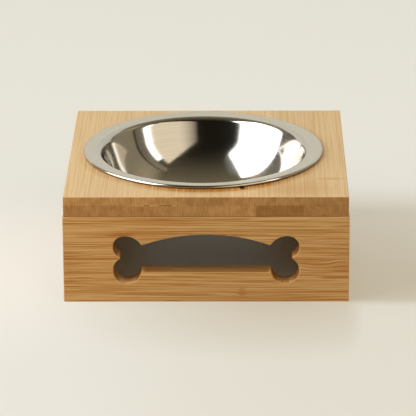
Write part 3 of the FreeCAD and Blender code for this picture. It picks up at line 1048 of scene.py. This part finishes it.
@dataclass(frozen=True)
class PaperFinish(Finish):
    """Matt paper of the sweep, evened out for the camera and for metal, and clear when seen from behind.

    The even tone carries painted light and shade: a painted shadow on the stand's right, painted contact
    shade in front of it and a painted pool of light on its left. Under the stand only a trace of it shows, as
    painted fill light, warmed towards the sides by a painted bounce from the wood.
    Right under the stand's walls the paper is open, so that their underside isn't black from below. Lengths
    are in metres. near_end, front_start, shade_front, shade_back, shade_start and wall_strip are counted from
    the stand's side.
    """

    stand_side: float
    colour: Colour = srgb(232, 229, 219)
    roughness: float = 0.9
    specular: float = 0.1
    glow: Colour = srgb(233, 231, 222)
    # The tones below paint light and shade on the paper round and under the stand.
    lit_glow: Colour = srgb(249, 244, 234)
    lit_spot: Spot = Spot((-0.17, -0.04, 0.0), (0.17, 0.2, 9.0))
    near_painted_shade: Colour = srgb(201, 190, 169)
    near_spot: Spot = Spot((0.05, -0.09, 0.0), (0.17, 0.15, 9.0))
    near_end: Pair = (0.02, -0.005)
    front_span: Pair = (-0.12, 0.06)
    front_start: float = 0.02
    front_share: float = 0.34
    shade_glow: Colour = srgb(200, 189, 166)
    shade_least: float = 0.65
    shade_front: Pair = (-0.008, 0.006)
    shade_back: Pair = (0.05, -0.02)
    shade_start: float = -0.01
    shade_end: Pair = (0.6, 0.2)
    painted_wood_bounce: Colour = (0.55, 0.3, 0.05, 1.0)
    inner_span: Pair = (0.028, 0.062)
    inner_loss: float = -0.4
    evening: float = 0.7
    painted_fill_under: float = 0.036
    fade: float = 0.004
    wall_strip: Pair = (1.5 * MM, 11.5 * MM)

    def evenness(self, graph: Graph, inner: Feed, out: Feed) -> Feed:
        """Work out how much of the even tone shows.

        Args:
            graph: The material's graph.
            inner: The mask of the places well to the left or right of the middle.
            out: How far out a place lies, to the side or to the front.

        Returns:
            The share of the even tone.
        """
        far = graph.smooth(out, self.stand_side - self.fade, self.stand_side)
        # Painted fill light: a trace of the even tone under the stand, less towards its sides.
        under = graph.times(graph.line(inner, self.inner_loss, 1.0), self.painted_fill_under)
        share = graph.most(graph.times(far, self.evening), under)
        path = graph.add("ShaderNodeLightPath").outputs
        rays = ("Is Camera Ray", "Is Glossy Ray", "Is Transmission Ray")
        return graph.times(share, graph.most(*(path[ray] for ray in rays)))

    def near_mask(self, graph: Graph, place: Feed) -> Feed:
        """Mask the painted contact shade in front of the stand.

        Args:
            graph: The material's graph.
            place: The place on the paper.

        Returns:
            The mask.
        """
        side = self.stand_side
        right, back_way, _ = graph.split(place)
        limit = graph.smooth(right, *(side + step for step in self.near_end))
        near = graph.times(self.near_spot.draw(graph, place), limit)
        front = graph.smooth(back_way, self.front_start - side, -side)
        return graph.most(near, graph.times(graph.smooth(right, *self.front_span), front, self.front_share))

    def shade_mask(self, graph: Graph, place: Feed) -> Feed:
        """Mask the painted soft shadow on the stand's right.

        Args:
            graph: The material's graph.
            place: The place on the paper.

        Returns:
            The mask.
        """
        side = self.stand_side
        right, back_way, _ = graph.split(place)
        deeper = graph.line(graph.smooth(back_way, side, -side), 1.0 - self.shade_least, self.shade_least)
        front = graph.smooth(back_way, *(step - side for step in self.shade_front))
        back = graph.smooth(back_way, *(step + side for step in self.shade_back))
        start = graph.smooth(right, side + self.shade_start, side)
        return graph.times(deeper, front, back, start, graph.smooth(right, *self.shade_end))

    def material(self) -> bpy.types.Material:
        """Make the material.

        Returns:
            The finished material.
        """
        material, graph, shader = self.start()
        shader.inputs["Base Color"].default_value = self.colour
        shader.inputs["Roughness"].default_value = self.roughness
        shader.inputs["Specular IOR Level"].default_value = self.specular
        side = self.stand_side
        place = graph.add("ShaderNodeTexCoord").outputs["Object"]
        x, y, _ = graph.split(graph.vector("ABSOLUTE", place))
        out = graph.most(x, y)
        inner = graph.smooth(x, *self.inner_span)
        # Painted light: a brighter pool on the stand's left.
        tone = graph.mix(self.lit_spot.draw(graph, place), self.glow, self.lit_glow)
        # Painted shade: darker paper in front of the stand.
        tone = graph.mix(self.near_mask(graph, place), tone, self.near_painted_shade)
        # Painted shadow on the stand's right.
        tone = graph.mix(self.shade_mask(graph, place), tone, self.shade_glow)
        # Painted warm bounce from the wood under the stand, towards its sides.
        under = graph.times(inner, graph.smooth(out, side, side - self.fade))
        tone = graph.mix(under, tone, self.painted_wood_bounce)
        even = graph.add("ShaderNodeEmission", {"Color": tone, "Strength": 1.0})
        share = self.evenness(graph, inner, out)
        paper = graph.add("ShaderNodeMixShader", {0: share, 1: shader.outputs[0], 2: even.outputs[0]})
        walls = graph.math("GREATER_THAN", out, side - self.wall_strip[1])
        walls = graph.times(walls, graph.math("LESS_THAN", out, side - self.wall_strip[0]))
        back = graph.add("ShaderNodeNewGeometry").outputs["Backfacing"]
        clear = graph.add("ShaderNodeBsdfTransparent")
        feeds = {0: graph.most(back, walls), 1: paper.outputs[0], 2: clear.outputs[0]}
        blend = graph.add("ShaderNodeMixShader", feeds)
        graph.feed(material.node_tree.nodes["Material Output"].inputs["Surface"], blend.outputs[0])
        return material


class Zone(Enum):
    """The finishes of the bowl; the value is the material slot."""

    SATIN = 0
    MIRROR = 1
    # The hem's lower half: painted shade and a painted reflection of the board under the rim.
    HEM_SHADE = 2


@dataclass(frozen=True)
class SectionSteps:
    """Into how many parts each stretch of the bowl's section is divided."""

    floor: int = 6
    knuckle: int = 56
    wall: int = 6
    mouth: int = 14
    flange: int = 5
    bead: int = 24
    lip: int = 3
    hem: int = 8
    under_flange: int = 4
    neck: int = 12
    outer_knuckle: int = 48


@dataclass
class SteelBowl:
    """The pressed bowl: a thin sheet with a wide flange and a hemmed edge. Lengths are in metres."""

    node: str = "bowl"
    sheet: float = 0.6 * MM
    mouth_round: float = 4.5 * MM
    flange_width: float = 7.3 * MM
    flange_tilt: float = math.radians(6.0)
    hem_gap: float = 1.1 * MM
    hem_lip: float = 4.5 * MM
    knuckle_radius: float = 46.0 * MM
    wall_lean: float = math.radians(20.0)
    # Where on the bead, as a share of its radius from its centre, the painted shade of the hem begins.
    hem_shade_start: float = -0.05
    speck_place: Pair = (24.5, -71.7)
    speck_drop: float = 2.0 * MM
    speck_reach: Triple = (1.8, 1.8, 3.0)
    turns: int = 320
    sharp_angle: float = math.radians(40)
    steps: SectionSteps = SectionSteps()
    outline: list[tuple[float, float, Zone]] = field(default_factory=list)

    def __post_init__(self) -> None:
        """Read the bowl's place and outer size from the frame."""
        low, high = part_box(self.node)
        self.axis = ((low.x + high.x) / 2, (low.y + high.y) / 2)
        self.rim_radius = (high.x - low.x) / 2
        self.top = high.z
        self.bottom = low.z

    @staticmethod
    def arc(centre: Pair, radius: float, start: float, end: float, steps: int) -> list[Pair]:
        """Give points on an arc of the section.

        Args:
            centre: Its centre as radius and height.
            radius: Its radius.
            start: The first angle in degrees.
            end: The last angle in degrees.
            steps: How many parts it is divided into.

        Returns:
            The points as radius and height.
        """
        angles = [math.radians(start + (end - start) * i / steps) for i in range(steps + 1)]
        return [(centre[0] + radius * math.cos(a), centre[1] + radius * math.sin(a)) for a in angles]

    @staticmethod
    def between(start: Pair, end: Pair, steps: int) -> list[Pair]:
        """Give the points strictly between two points of the section.

        Args:
            start: The first point, as radius and height.
            end: The last point.
            steps: How many parts the way is divided into.

        Returns:
            The points as radius and height.
        """
        return [
            (start[0] + (end[0] - start[0]) * i / steps, start[1] + (end[1] - start[1]) * i / steps)
            for i in range(1, steps)
        ]

    def knuckle_centre(self, wall_top: Pair, height: float) -> Pair:
        """Find where the knuckle's arc meets the straight wall.

        Args:
            wall_top: The top of the straight wall.
            height: The height of the arc's centre.

        Returns:
            The arc's centre as radius and height.
        """
        drop = wall_top[1] - (height - self.knuckle_radius * math.sin(self.wall_lean))
        foot = wall_top[0] - drop * math.tan(self.wall_lean)
        return foot - self.knuckle_radius * math.cos(self.wall_lean), height

    def draw_section(self) -> None:
        """Draw the section of the sheet, from the inside's middle over the rim to the underside's middle."""
        steps = self.steps
        lean = math.degrees(self.wall_lean)
        up = 90 + math.degrees(self.flange_tilt)
        bead = self.sheet + self.hem_gap / 2
        bead_centre = (self.rim_radius - bead, self.top - bead)
        fall = (self.flange_width - bead) * math.sin(self.flange_tilt) + self.mouth_round - bead
        mouth = (self.rim_radius - self.flange_width, bead_centre[1] - fall / math.cos(self.flange_tilt))
        inside_floor = self.bottom + self.sheet
        wall_top = self.arc(mouth, self.mouth_round, 180 - lean, up, steps.mouth)
        knuckle = self.knuckle_centre(wall_top[0], inside_floor + self.knuckle_radius)
        floor_radii = [knuckle[0] * i / steps.floor for i in range(steps.floor)]
        inside = [(radius, inside_floor) for radius in floor_radii]
        inside += self.arc(knuckle, self.knuckle_radius, -90, -lean, steps.knuckle)
        inside += self.between(inside[-1], wall_top[0], steps.wall) + wall_top
        bead_arc = self.arc(bead_centre, bead, up, -90, steps.bead)
        flange = self.between(wall_top[-1], bead_arc[0], steps.flange)
        lip_end = (bead_centre[0] - self.hem_lip, bead_centre[1] - bead)
        rim = flange + bead_arc + self.between(bead_arc[-1], lip_end, steps.lip) + [lip_end]
        rim += [(lip_end[0], bead_centre[1] - self.hem_gap / 2)]
        rim += self.arc(bead_centre, self.hem_gap / 2, -90, up, steps.hem)
        neck = self.arc(mouth, self.mouth_round - self.sheet, up, 180 - lean, steps.neck)
        under = self.between(rim[-1], neck[0], steps.under_flange) + neck
        outer = self.arc(knuckle, self.knuckle_radius + self.sheet, -lean, -90, steps.outer_knuckle)
        under += self.between(under[-1], outer[0], steps.wall) + outer
        under += [(radius, self.bottom) for radius in reversed(floor_radii)]
        mirror_end = len(inside) - 1
        bead_start = len(inside) + len(flange)
        bead_end = bead_start + len(bead_arc) - 1
        for i, (radius, height) in enumerate(inside + rim + under):
            zone = Zone.SATIN
            if i < mirror_end:
                zone = Zone.MIRROR
            elif bead_start <= i < bead_end:
                # Below this height the bead takes the darker steel: painted shade and a painted reflection of
                # the board.
                zone = Zone.MIRROR if height > bead_centre[1] + self.hem_shade_start * bead else Zone.HEM_SHADE
            self.outline.append((radius, height, zone))

    def spin(self) -> bpy.types.Object:
        """Turn the section round the axis.

        Returns:
            The bowl's object.
        """
        angles = [2 * math.pi * i / self.turns for i in range(self.turns)]
        centre_x, centre_y = self.axis
        verts: list[Triple] = []
        rings: list[list[int]] = []
        for radius, height, _ in self.outline:
            if radius == 0.0:
                rings.append([len(verts)] * self.turns)
                verts.append((*self.axis, height))
                continue
            rings.append(list(range(len(verts), len(verts) + self.turns)))
            for angle in angles:
                x, y = centre_x + radius * math.cos(angle), centre_y + radius * math.sin(angle)
                verts.append((x, y, height))
        faces, slots = [], []
        for row in range(len(rings) - 1):
            for i in range(self.turns):
                j = (i + 1) % self.turns
                corners = (rings[row][i], rings[row][j], rings[row + 1][j], rings[row + 1][i])
                faces.append(tuple(dict.fromkeys(corners)))
                slots.append(self.outline[row][2].value)
        mesh = smooth_mesh("steel_bowl", verts, faces)
        mesh.polygons.foreach_set("material_index", slots)
        mesh.set_sharp_from_angle(angle=self.sharp_angle)
        mesh.validate()
        return put_in_scene("steel_bowl", mesh)

    def finishes(self) -> dict[Zone, SteelFinish]:
        """Give the steel finish of each zone: satin, mirror and the hem's lower half, darkened as painted
        shade and a painted reflection of the board.

        Returns:
            The finishes by zone, in the order of their slots.
        """
        speck = Spot((*self.speck_place, (self.top - self.speck_drop) / MM), self.speck_reach)
        return {
            Zone.SATIN: SteelFinish(
                "steel_satin",
                colour=srgb(222, 217, 205),
                roughness=0.27,
                ring_roughness=0.06,
                smear_roughness=0.05,
                ring_width=0.22,
                relief=0.002 * MM,
                axis=self.axis,
            ),
            Zone.MIRROR: SteelFinish(
                "steel_mirror",
                colour=srgb(210, 206, 200),
                roughness=0.085,
                ring_roughness=0.03,
                smear_roughness=0.03,
                ring_width=0.5,
                relief=0.03 * MM,
                axis=self.axis,
            ),
            # Darker brownish steel of the hem's lower half: painted shade and a painted reflection of the
            # board.
            Zone.HEM_SHADE: SteelFinish(
                "steel_hem_shade",
                colour=srgb(140, 118, 88),
                roughness=0.3,
                ring_roughness=0.1,
                smear_roughness=0.1,
                ring_width=0.3,
                relief=0.002 * MM,
                axis=self.axis,
                speck=speck,
            ),
        }

    def dress(self, piece: bpy.types.Object) -> None:
        """Give the bowl its steel finishes, one in each slot."""
        for finish in self.finishes().values():
            piece.data.materials.append(finish.material())

    def build(self) -> None:
        """Make the bowl and hang it on its body."""
        self.draw_section()
        piece = self.spin()
        self.dress(piece)
        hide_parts(self.node)
        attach(piece, "bowl")
        LOG.info("%s: %d faces", piece.name, len(piece.data.polygons))


@dataclass
class BambooStand:
    """The box stand: a top board, four panels and their hidden dowels.

    The lines are the dark seams of each panel: heights in millimetres with their strengths. The panels are
    cut one after another from a long culm, a step apart.
    """

    front_lines: tuple[Pair, ...] = (
        *((1.3, 0.9), (6.5, 0.85), (18.7, 0.8), (20.7, 0.9), (25.2, 0.8)),
        *((28.4, 0.95), (34.9, 0.8), (36.4, 0.8), (45.2, 0.7), (51.2, 0.85)),
    )
    rear_lines: tuple[Pair, ...] = (
        *((3.2, 0.5), (9.1, 0.6), (14.4, 0.5), (22.3, 0.7)),
        *((29.9, 0.5), (35.8, 0.6), (41.0, 0.5), (47.6, 0.6)),
    )
    left_lines: tuple[Pair, ...] = (
        *((4.8, 0.6), (11.6, 0.5), (17.0, 0.6), (24.1, 0.6)),
        *((31.2, 0.5), (38.7, 0.6), (44.3, 0.5), (50.2, 0.6)),
    )
    right_lines: tuple[Pair, ...] = (
        *((2.1, 0.6), (8.3, 0.5), (15.5, 0.6), (19.9, 0.5)),
        *((27.0, 0.7), (33.5, 0.5), (42.2, 0.6), (48.9, 0.5)),
    )
    top_knuckles: tuple[Knuckle, ...] = (
        Knuckle(-53.0, 77.0, 3.0, 14.0, 0.5, 0.6),
        Knuckle(41.0, -66.0, 2.5, 8.0, 0.2, 0.5),
        Knuckle(-75.5, -4.0, 3.0, 22.0, 0.3),
        Knuckle(-72.0, 54.0, 24.0, 36.0, 0.42),
    )
    front_knuckles: tuple[Knuckle, ...] = (
        Knuckle(22.0, 6.3, 4.0, 4.5, 0.55, 0.8),
        Knuckle(-19.0, 0.4, 8.0, 1.1, 0.7),
        Knuckle(69.0, 22.5, 17.0, 6.0, 0.0, 1.3),
        Knuckle(84.0, 27.0, 11.0, 4.5, 0.0, -1.0),
    )
    rear_knuckle: Knuckle = Knuckle(-38.0, 44.0, 5.0, 4.0, 0.4, 0.8)
    left_knuckle: Knuckle = Knuckle(33.0, 13.0, 5.0, 4.0, 0.4, 0.7)
    right_knuckle: Knuckle = Knuckle(-24.0, 37.0, 5.0, 4.0, 0.4, 0.7)
    # Painted shade: the front panel darkens towards the right, as the softbox's light falls off away from the
    # left.
    front_falloff_shade: float = 0.09
    culm_step: float = 410.0

    def top_finish(self) -> TopBamboo:
        """Give the top board's finish, with its ring of painted shade round the bowl.

        Returns:
            The finish.
        """
        low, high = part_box("bowl")
        return TopBamboo(
            "bamboo_top",
            grain=Grain.TOP,
            pale=srgb(223, 196, 154),
            middle=srgb(218, 188, 144),
            deep=srgb(209, 174, 126),
            cut_end=srgb(167, 125, 78),
            line_width=0.6,
            line_length=90.0,
            wander=1.2,
            mark=srgb(190, 138, 74),
            streak_share=0.08,
            drift=0.1,
            ring_centre=((low.y + high.y) / 2 / MM, (low.x + high.x) / 2 / MM),
            ring_radius=(high.x - low.x) / 2 / MM,
            knuckles=self.top_knuckles,
        )

    @staticmethod
    def panel_finish(
        name: str,
        grain: Grain,
        offset: float,
        lines: tuple[Pair, ...],
        knuckles: tuple[Knuckle, ...],
        drift: float,
    ) -> PanelBamboo:
        """Give a panel's finish.

        Args:
            name: The material's name.
            grain: How the panel's fibres lie.
            offset: Where on the long culm the panel was cut, in millimetres.
            lines: Its dark seams.
            knuckles: Its culm nodes.
            drift: How much its face deepens from one end to the other.

        Returns:
            The finish.
        """
        return PanelBamboo(
            name,
            grain=grain,
            pale=srgb(191, 155, 103),
            middle=srgb(183, 142, 89),
            deep=srgb(160, 108, 49),
            cut_end=srgb(146, 100, 54),
            line_width=0.55,
            line_length=70.0,
            wander=2.0,
            streak_share=0.2,
            offset=offset,
            lines=lines,
            knuckles=knuckles,
            drift=drift,
        )

    def finishes(self) -> dict[str, TopBamboo | PanelBamboo]:
        """Give each board's finish.

        Returns:
            The finishes by node.
        """
        rows = {
            "front": (Grain.FACE, self.front_lines, self.front_knuckles, self.front_falloff_shade),
            "rear": (Grain.FACE, self.rear_lines, (self.rear_knuckle,), 0.0),
            "left": (Grain.SIDE, self.left_lines, (self.left_knuckle,), 0.0),
            "right": (Grain.SIDE, self.right_lines, (self.right_knuckle,), 0.0),
        }
        finishes: dict[str, TopBamboo | PanelBamboo] = {"top_board": self.top_finish()}
        for number, (side, (grain, lines, knuckles, drift)) in enumerate(rows.items()):
            offset = number * self.culm_step
            finish = self.panel_finish(f"bamboo_{side}", grain, offset, lines, knuckles, drift)
            finishes[f"{side}_panel"] = finish
        return finishes

    @staticmethod
    def dowel_finish() -> DowelWood:
        """Give the dowels' finish.

        Returns:
            The finish.
        """
        return DowelWood(
            "beech_dowel",
            grain=Grain.FACE,
            pale=srgb(226, 196, 152),
            middle=srgb(212, 176, 128),
            deep=srgb(190, 148, 98),
            cut_end=srgb(176, 132, 84),
            line_width=0.9,
            line_length=14.0,
            wander=0.6,
        )

    @staticmethod
    def dress(piece: bpy.types.Object, material: bpy.types.Material) -> None:
        """Put one material in all slots of a CAD piece.

        Args:
            piece: The CAD piece.
            material: The material.
        """
        for slot in piece.material_slots:
            slot.material = material
        LOG.info("%s: %s", piece.name, material.name)

    def build(self) -> None:
        """Dress every board and dowel of the stand."""
        for node, finish in self.finishes().items():
            self.dress(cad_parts[node], finish.material())
        beech = self.dowel_finish().material()
        for node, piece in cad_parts.items():
            if node.endswith("dowel"):
                self.dress(piece, beech)


@dataclass(frozen=True)
class Card:
    """A flat upright lamp in the studio that faces the bowl.

    Bearing is in degrees from the camera's side, to the right. Span and rise are shares of the distance: the
    span runs along the card from its nearest point, and the rise is above the bowl. Fades are shares of the
    card at its two upright edges and its top. Drawn in says how far its two lower corners are cut off, and
    the corners give the heights between which that happens.
    """

    name: str
    bearing: float
    distance: float
    span: Pair
    rise: Pair
    colour: Triple
    radiance: float
    fade: Pair = (0.02, 0.02)
    low_end: float = 0.0
    top_fade: float = 0.02
    drawn_in: Pair = (0.0, 0.0)
    start_corner: Pair = (0.65, 0.1)
    end_corner: Pair = (0.9, 0.38)
    bowl_height: float = 0.06
    mirrored: bool = True

    def feather(self, data: bpy.types.Light) -> None:
        """Let the lamp fade towards its two upright edges and its top.

        Args:
            data: The lamp's data.
        """
        data.use_nodes = True
        graph = Graph(data.node_tree)
        along, up, _ = graph.split(graph.add("ShaderNodeNewGeometry").outputs["Parametric"])
        slant = graph.times(graph.smooth(up, *self.start_corner), -self.drawn_in[0])
        inward = graph.math("ADD", along, slant)
        feeds = {"Value": inward, "From Max": self.fade[0], "To Min": self.low_end}
        start = graph.add("ShaderNodeMapRange", feeds).outputs[0]
        slant = graph.times(graph.smooth(up, *self.end_corner), self.drawn_in[1])
        end = graph.smooth(graph.math("ADD", along, slant), 1.0, 1.0 - self.fade[1])
        top = graph.smooth(up, 1.0, 1.0 - self.top_fade)
        strength = graph.times(start, end, top)
        graph.feed(data.node_tree.nodes["Emission"].inputs["Strength"], strength)

    def build(self) -> None:
        """Make the lamp."""
        turn = math.radians(self.bearing)
        out = Vector((math.sin(turn), -math.cos(turn), 0.0))
        along = Vector((math.cos(turn), math.sin(turn), 0.0))
        width = (self.span[1] - self.span[0]) * self.distance
        height = (self.rise[1] - self.rise[0]) * self.distance
        centre = (out + along * (self.span[0] + self.span[1]) / 2) * self.distance
        centre.z = self.bowl_height + (self.rise[0] + self.rise[1]) / 2 * self.distance
        data = bpy.data.lights.new(self.name, "AREA")
        data.shape = "RECTANGLE"
        data.size, data.size_y = width, height
        data.color = self.colour
        data.energy = self.radiance * math.pi * width * height
        self.feather(data)
        lamp = put_in_scene(self.name, data)
        lamp.visible_glossy = self.mirrored
        axes = Matrix((along, Vector((0.0, 0.0, 1.0)), out)).transposed()
        lamp.matrix_world = Matrix.Translation(centre) @ axes.to_4x4()
        LOG.info("%s: %.1f W", self.name, data.energy)


@dataclass
class Studio:
    """Floor and backdrop in one pale sweep, a softbox on the left, cards round the bowl, and a dim room.

    Lengths are in metres. The room's levels are parts of the direction that is looked in.
    """

    half_width: float = 6.0
    back_width: float = 3.2
    floor: float = -0.05 * MM
    near: float = -4.0
    far: float = 2.6
    rise: float = 3.2
    bend: float = 0.7
    bend_steps: int = 24
    room_low: Colour = (0.013, 0.0114, 0.0071, 1.0)
    room_high: Colour = (0.185, 0.1535, 0.096, 1.0)
    room_under: Colour = (0.6, 0.58, 0.52, 1.0)
    high_levels: Pair = (0.3, 0.95)
    high_back: Pair = (-0.9, 0.3)
    back_levels: Pair = (0.0, 0.6)
    back_gain: float = 1.7
    under_levels: Pair = (-0.05, -0.15)
    cards: tuple[Card, ...] = (
        Card(
            "softbox",
            bearing=-94.0,
            distance=2.4,
            span=(-0.26, 1.55),
            rise=(-0.02, 1.8),
            colour=(1.0, 0.985, 0.95),
            radiance=3.82,
            fade=(0.02, 0.15),
            top_fade=0.1,
            drawn_in=(0.055, 0.138),
        ),
        Card(
            "cool_spill",
            bearing=-94.0,
            distance=2.38,
            span=(-0.1, 1.74),
            rise=(0.0, 3.0),
            colour=(0.8, 0.95, 1.0),
            radiance=0.24,
            fade=(0.3, 0.2),
            top_fade=0.45,
            drawn_in=(0.0, 0.15),
        ),
        Card(
            "beige_card",
            bearing=75.5,
            distance=2.0,
            span=(-2.41, -0.1),
            rise=(-0.03, 1.3),
            colour=(1.0, 0.87, 0.652),
            radiance=1.1,
            fade=(0.6, 0.05),
            low_end=0.1,
            top_fade=0.04,
        ),
        Card(
            "bright_strip",
            bearing=75.5,
            distance=1.9,
            span=(-0.2, 0.035),
            rise=(0.05, 0.92),
            colour=(1.0, 0.97, 0.9),
            radiance=3.6,
            fade=(0.5, 0.3),
            top_fade=0.1,
        ),
        Card(
            "grey_card",
            bearing=100.0,
            distance=2.0,
            span=(-0.414, -0.215),
            rise=(0.0, 1.6),
            colour=(1.0, 0.87, 0.624),
            radiance=0.2,
        ),
        Card(
            "brown_card",
            bearing=100.0,
            distance=2.0,
            span=(-0.175, 0.52),
            rise=(0.0, 1.6),
            colour=(1.0, 0.85, 0.567),
            radiance=0.3,
            top_fade=0.5,
        ),
        Card(
            "rear_card",
            bearing=-125.0,
            distance=2.6,
            span=(-0.47, 0.36),
            rise=(0.0, 1.3),
            colour=(1.0, 0.92, 0.755),
            radiance=0.18,
        ),
        Card(
            "high_fill",
            bearing=4.0,
            distance=1.9,
            span=(-0.7, 0.7),
            rise=(0.75, 1.6),
            colour=(1.0, 0.97, 0.91),
            radiance=2.9,
            mirrored=False,
        ),
    )

    def sweep(self) -> None:
        """Make the floor that curves up into the backdrop."""
        bend_start = self.far - self.bend
        path = [(self.near, self.floor), (bend_start, self.floor)]
        for i in range(1, self.bend_steps + 1):
            angle = math.pi / 2 * i / self.bend_steps
            height = self.floor + self.bend * (1 - math.cos(angle))
            path.append((bend_start + self.bend * math.sin(angle), height))
        path.append((self.far, self.rise))
        widths = [self.half_width] + [self.back_width] * (len(path) - 1)
        verts = [(side * width, y, z) for width, (y, z) in zip(widths, path) for side in (-1, 1)]
        faces = [(2 * i, 2 * i + 1, 2 * i + 3, 2 * i + 2) for i in range(len(path) - 1)]
        mesh = smooth_mesh("paper_sweep", verts, faces)
        stand_side = max(abs(corner[axis]) for corner in CAD_BOX for axis in (0, 1))
        mesh.materials.append(PaperFinish("sweep_paper", stand_side).material())
        piece = put_in_scene("paper_sweep", mesh)

    def room(self) -> None:
        """Make the dim room round the studio, a little lighter overhead and at the back."""
        world = bpy.data.worlds.new("dim_room")
        world.use_nodes = True
        bpy.context.scene.world = world
        graph = Graph(world.node_tree)
        _, back, up = graph.split(graph.add("ShaderNodeTexCoord").outputs["Generated"])
        ceiling = graph.times(graph.smooth(up, *self.high_levels), graph.smooth(back, *self.high_back))
        colour = graph.mix(ceiling, self.room_low, self.room_high)
        lighter = graph.tint(colour, grey(self.back_gain))
        colour = graph.mix(graph.smooth(back, *self.back_levels), colour, lighter)
        colour = graph.mix(graph.smooth(up, *self.under_levels), colour, self.room_under)
        graph.feed(world.node_tree.nodes["Background"].inputs["Color"], colour)

    def build(self) -> None:
        """Make the studio."""
        self.sweep()
        self.room()
        for card in self.cards:
            card.build()


@dataclass(frozen=True)
class PhotoCamera:
    """A long lens in front of the stand, a little above it. Angles are in degrees."""

    place: Triple = (0.021317, -1.765875, 0.654434)
    yaw: float = -0.6824
    pitch: float = 19.4676
    roll: float = -0.2904
    lens: float = 253.583
    sensor: float = 36.0
    clip_end: float = 50.0

    def build(self) -> None:
        """Make the camera and hand it to the scene."""
        yaw, pitch, roll = (math.radians(angle) for angle in (self.yaw, self.pitch, self.roll))
        reach = math.cos(pitch)
        ahead = Vector((math.sin(yaw) * reach, math.cos(yaw) * reach, -math.sin(pitch)))
        level = Vector((math.cos(yaw), -math.sin(yaw), 0.0))
        upright = level.cross(ahead)
        right = level * math.cos(roll) + upright * math.sin(roll)
        up = upright * math.cos(roll) - level * math.sin(roll)
        data = bpy.data.cameras.new("photo_camera")
        data.lens = self.lens
        data.sensor_width = self.sensor
        data.clip_end = self.clip_end
        camera = put_in_scene("photo_camera", data)
        axes = Matrix((right, up, -ahead)).transposed()
        camera.matrix_world = Matrix.Translation(Vector(self.place)) @ axes.to_4x4()
        bpy.context.scene.camera = camera


def main() -> None:
    """Build the camera, the studio, the stand and the bowl."""
    logging.basicConfig(level=logging.INFO, format="%(name)s %(message)s")
    bpy.context.scene.view_settings.view_transform = "Standard"
    PhotoCamera().build()
    Studio().build()
    BambooStand().build()
    SteelBowl().build()
    bpy.context.view_layer.update()


if __name__ == "__main__":
    main()
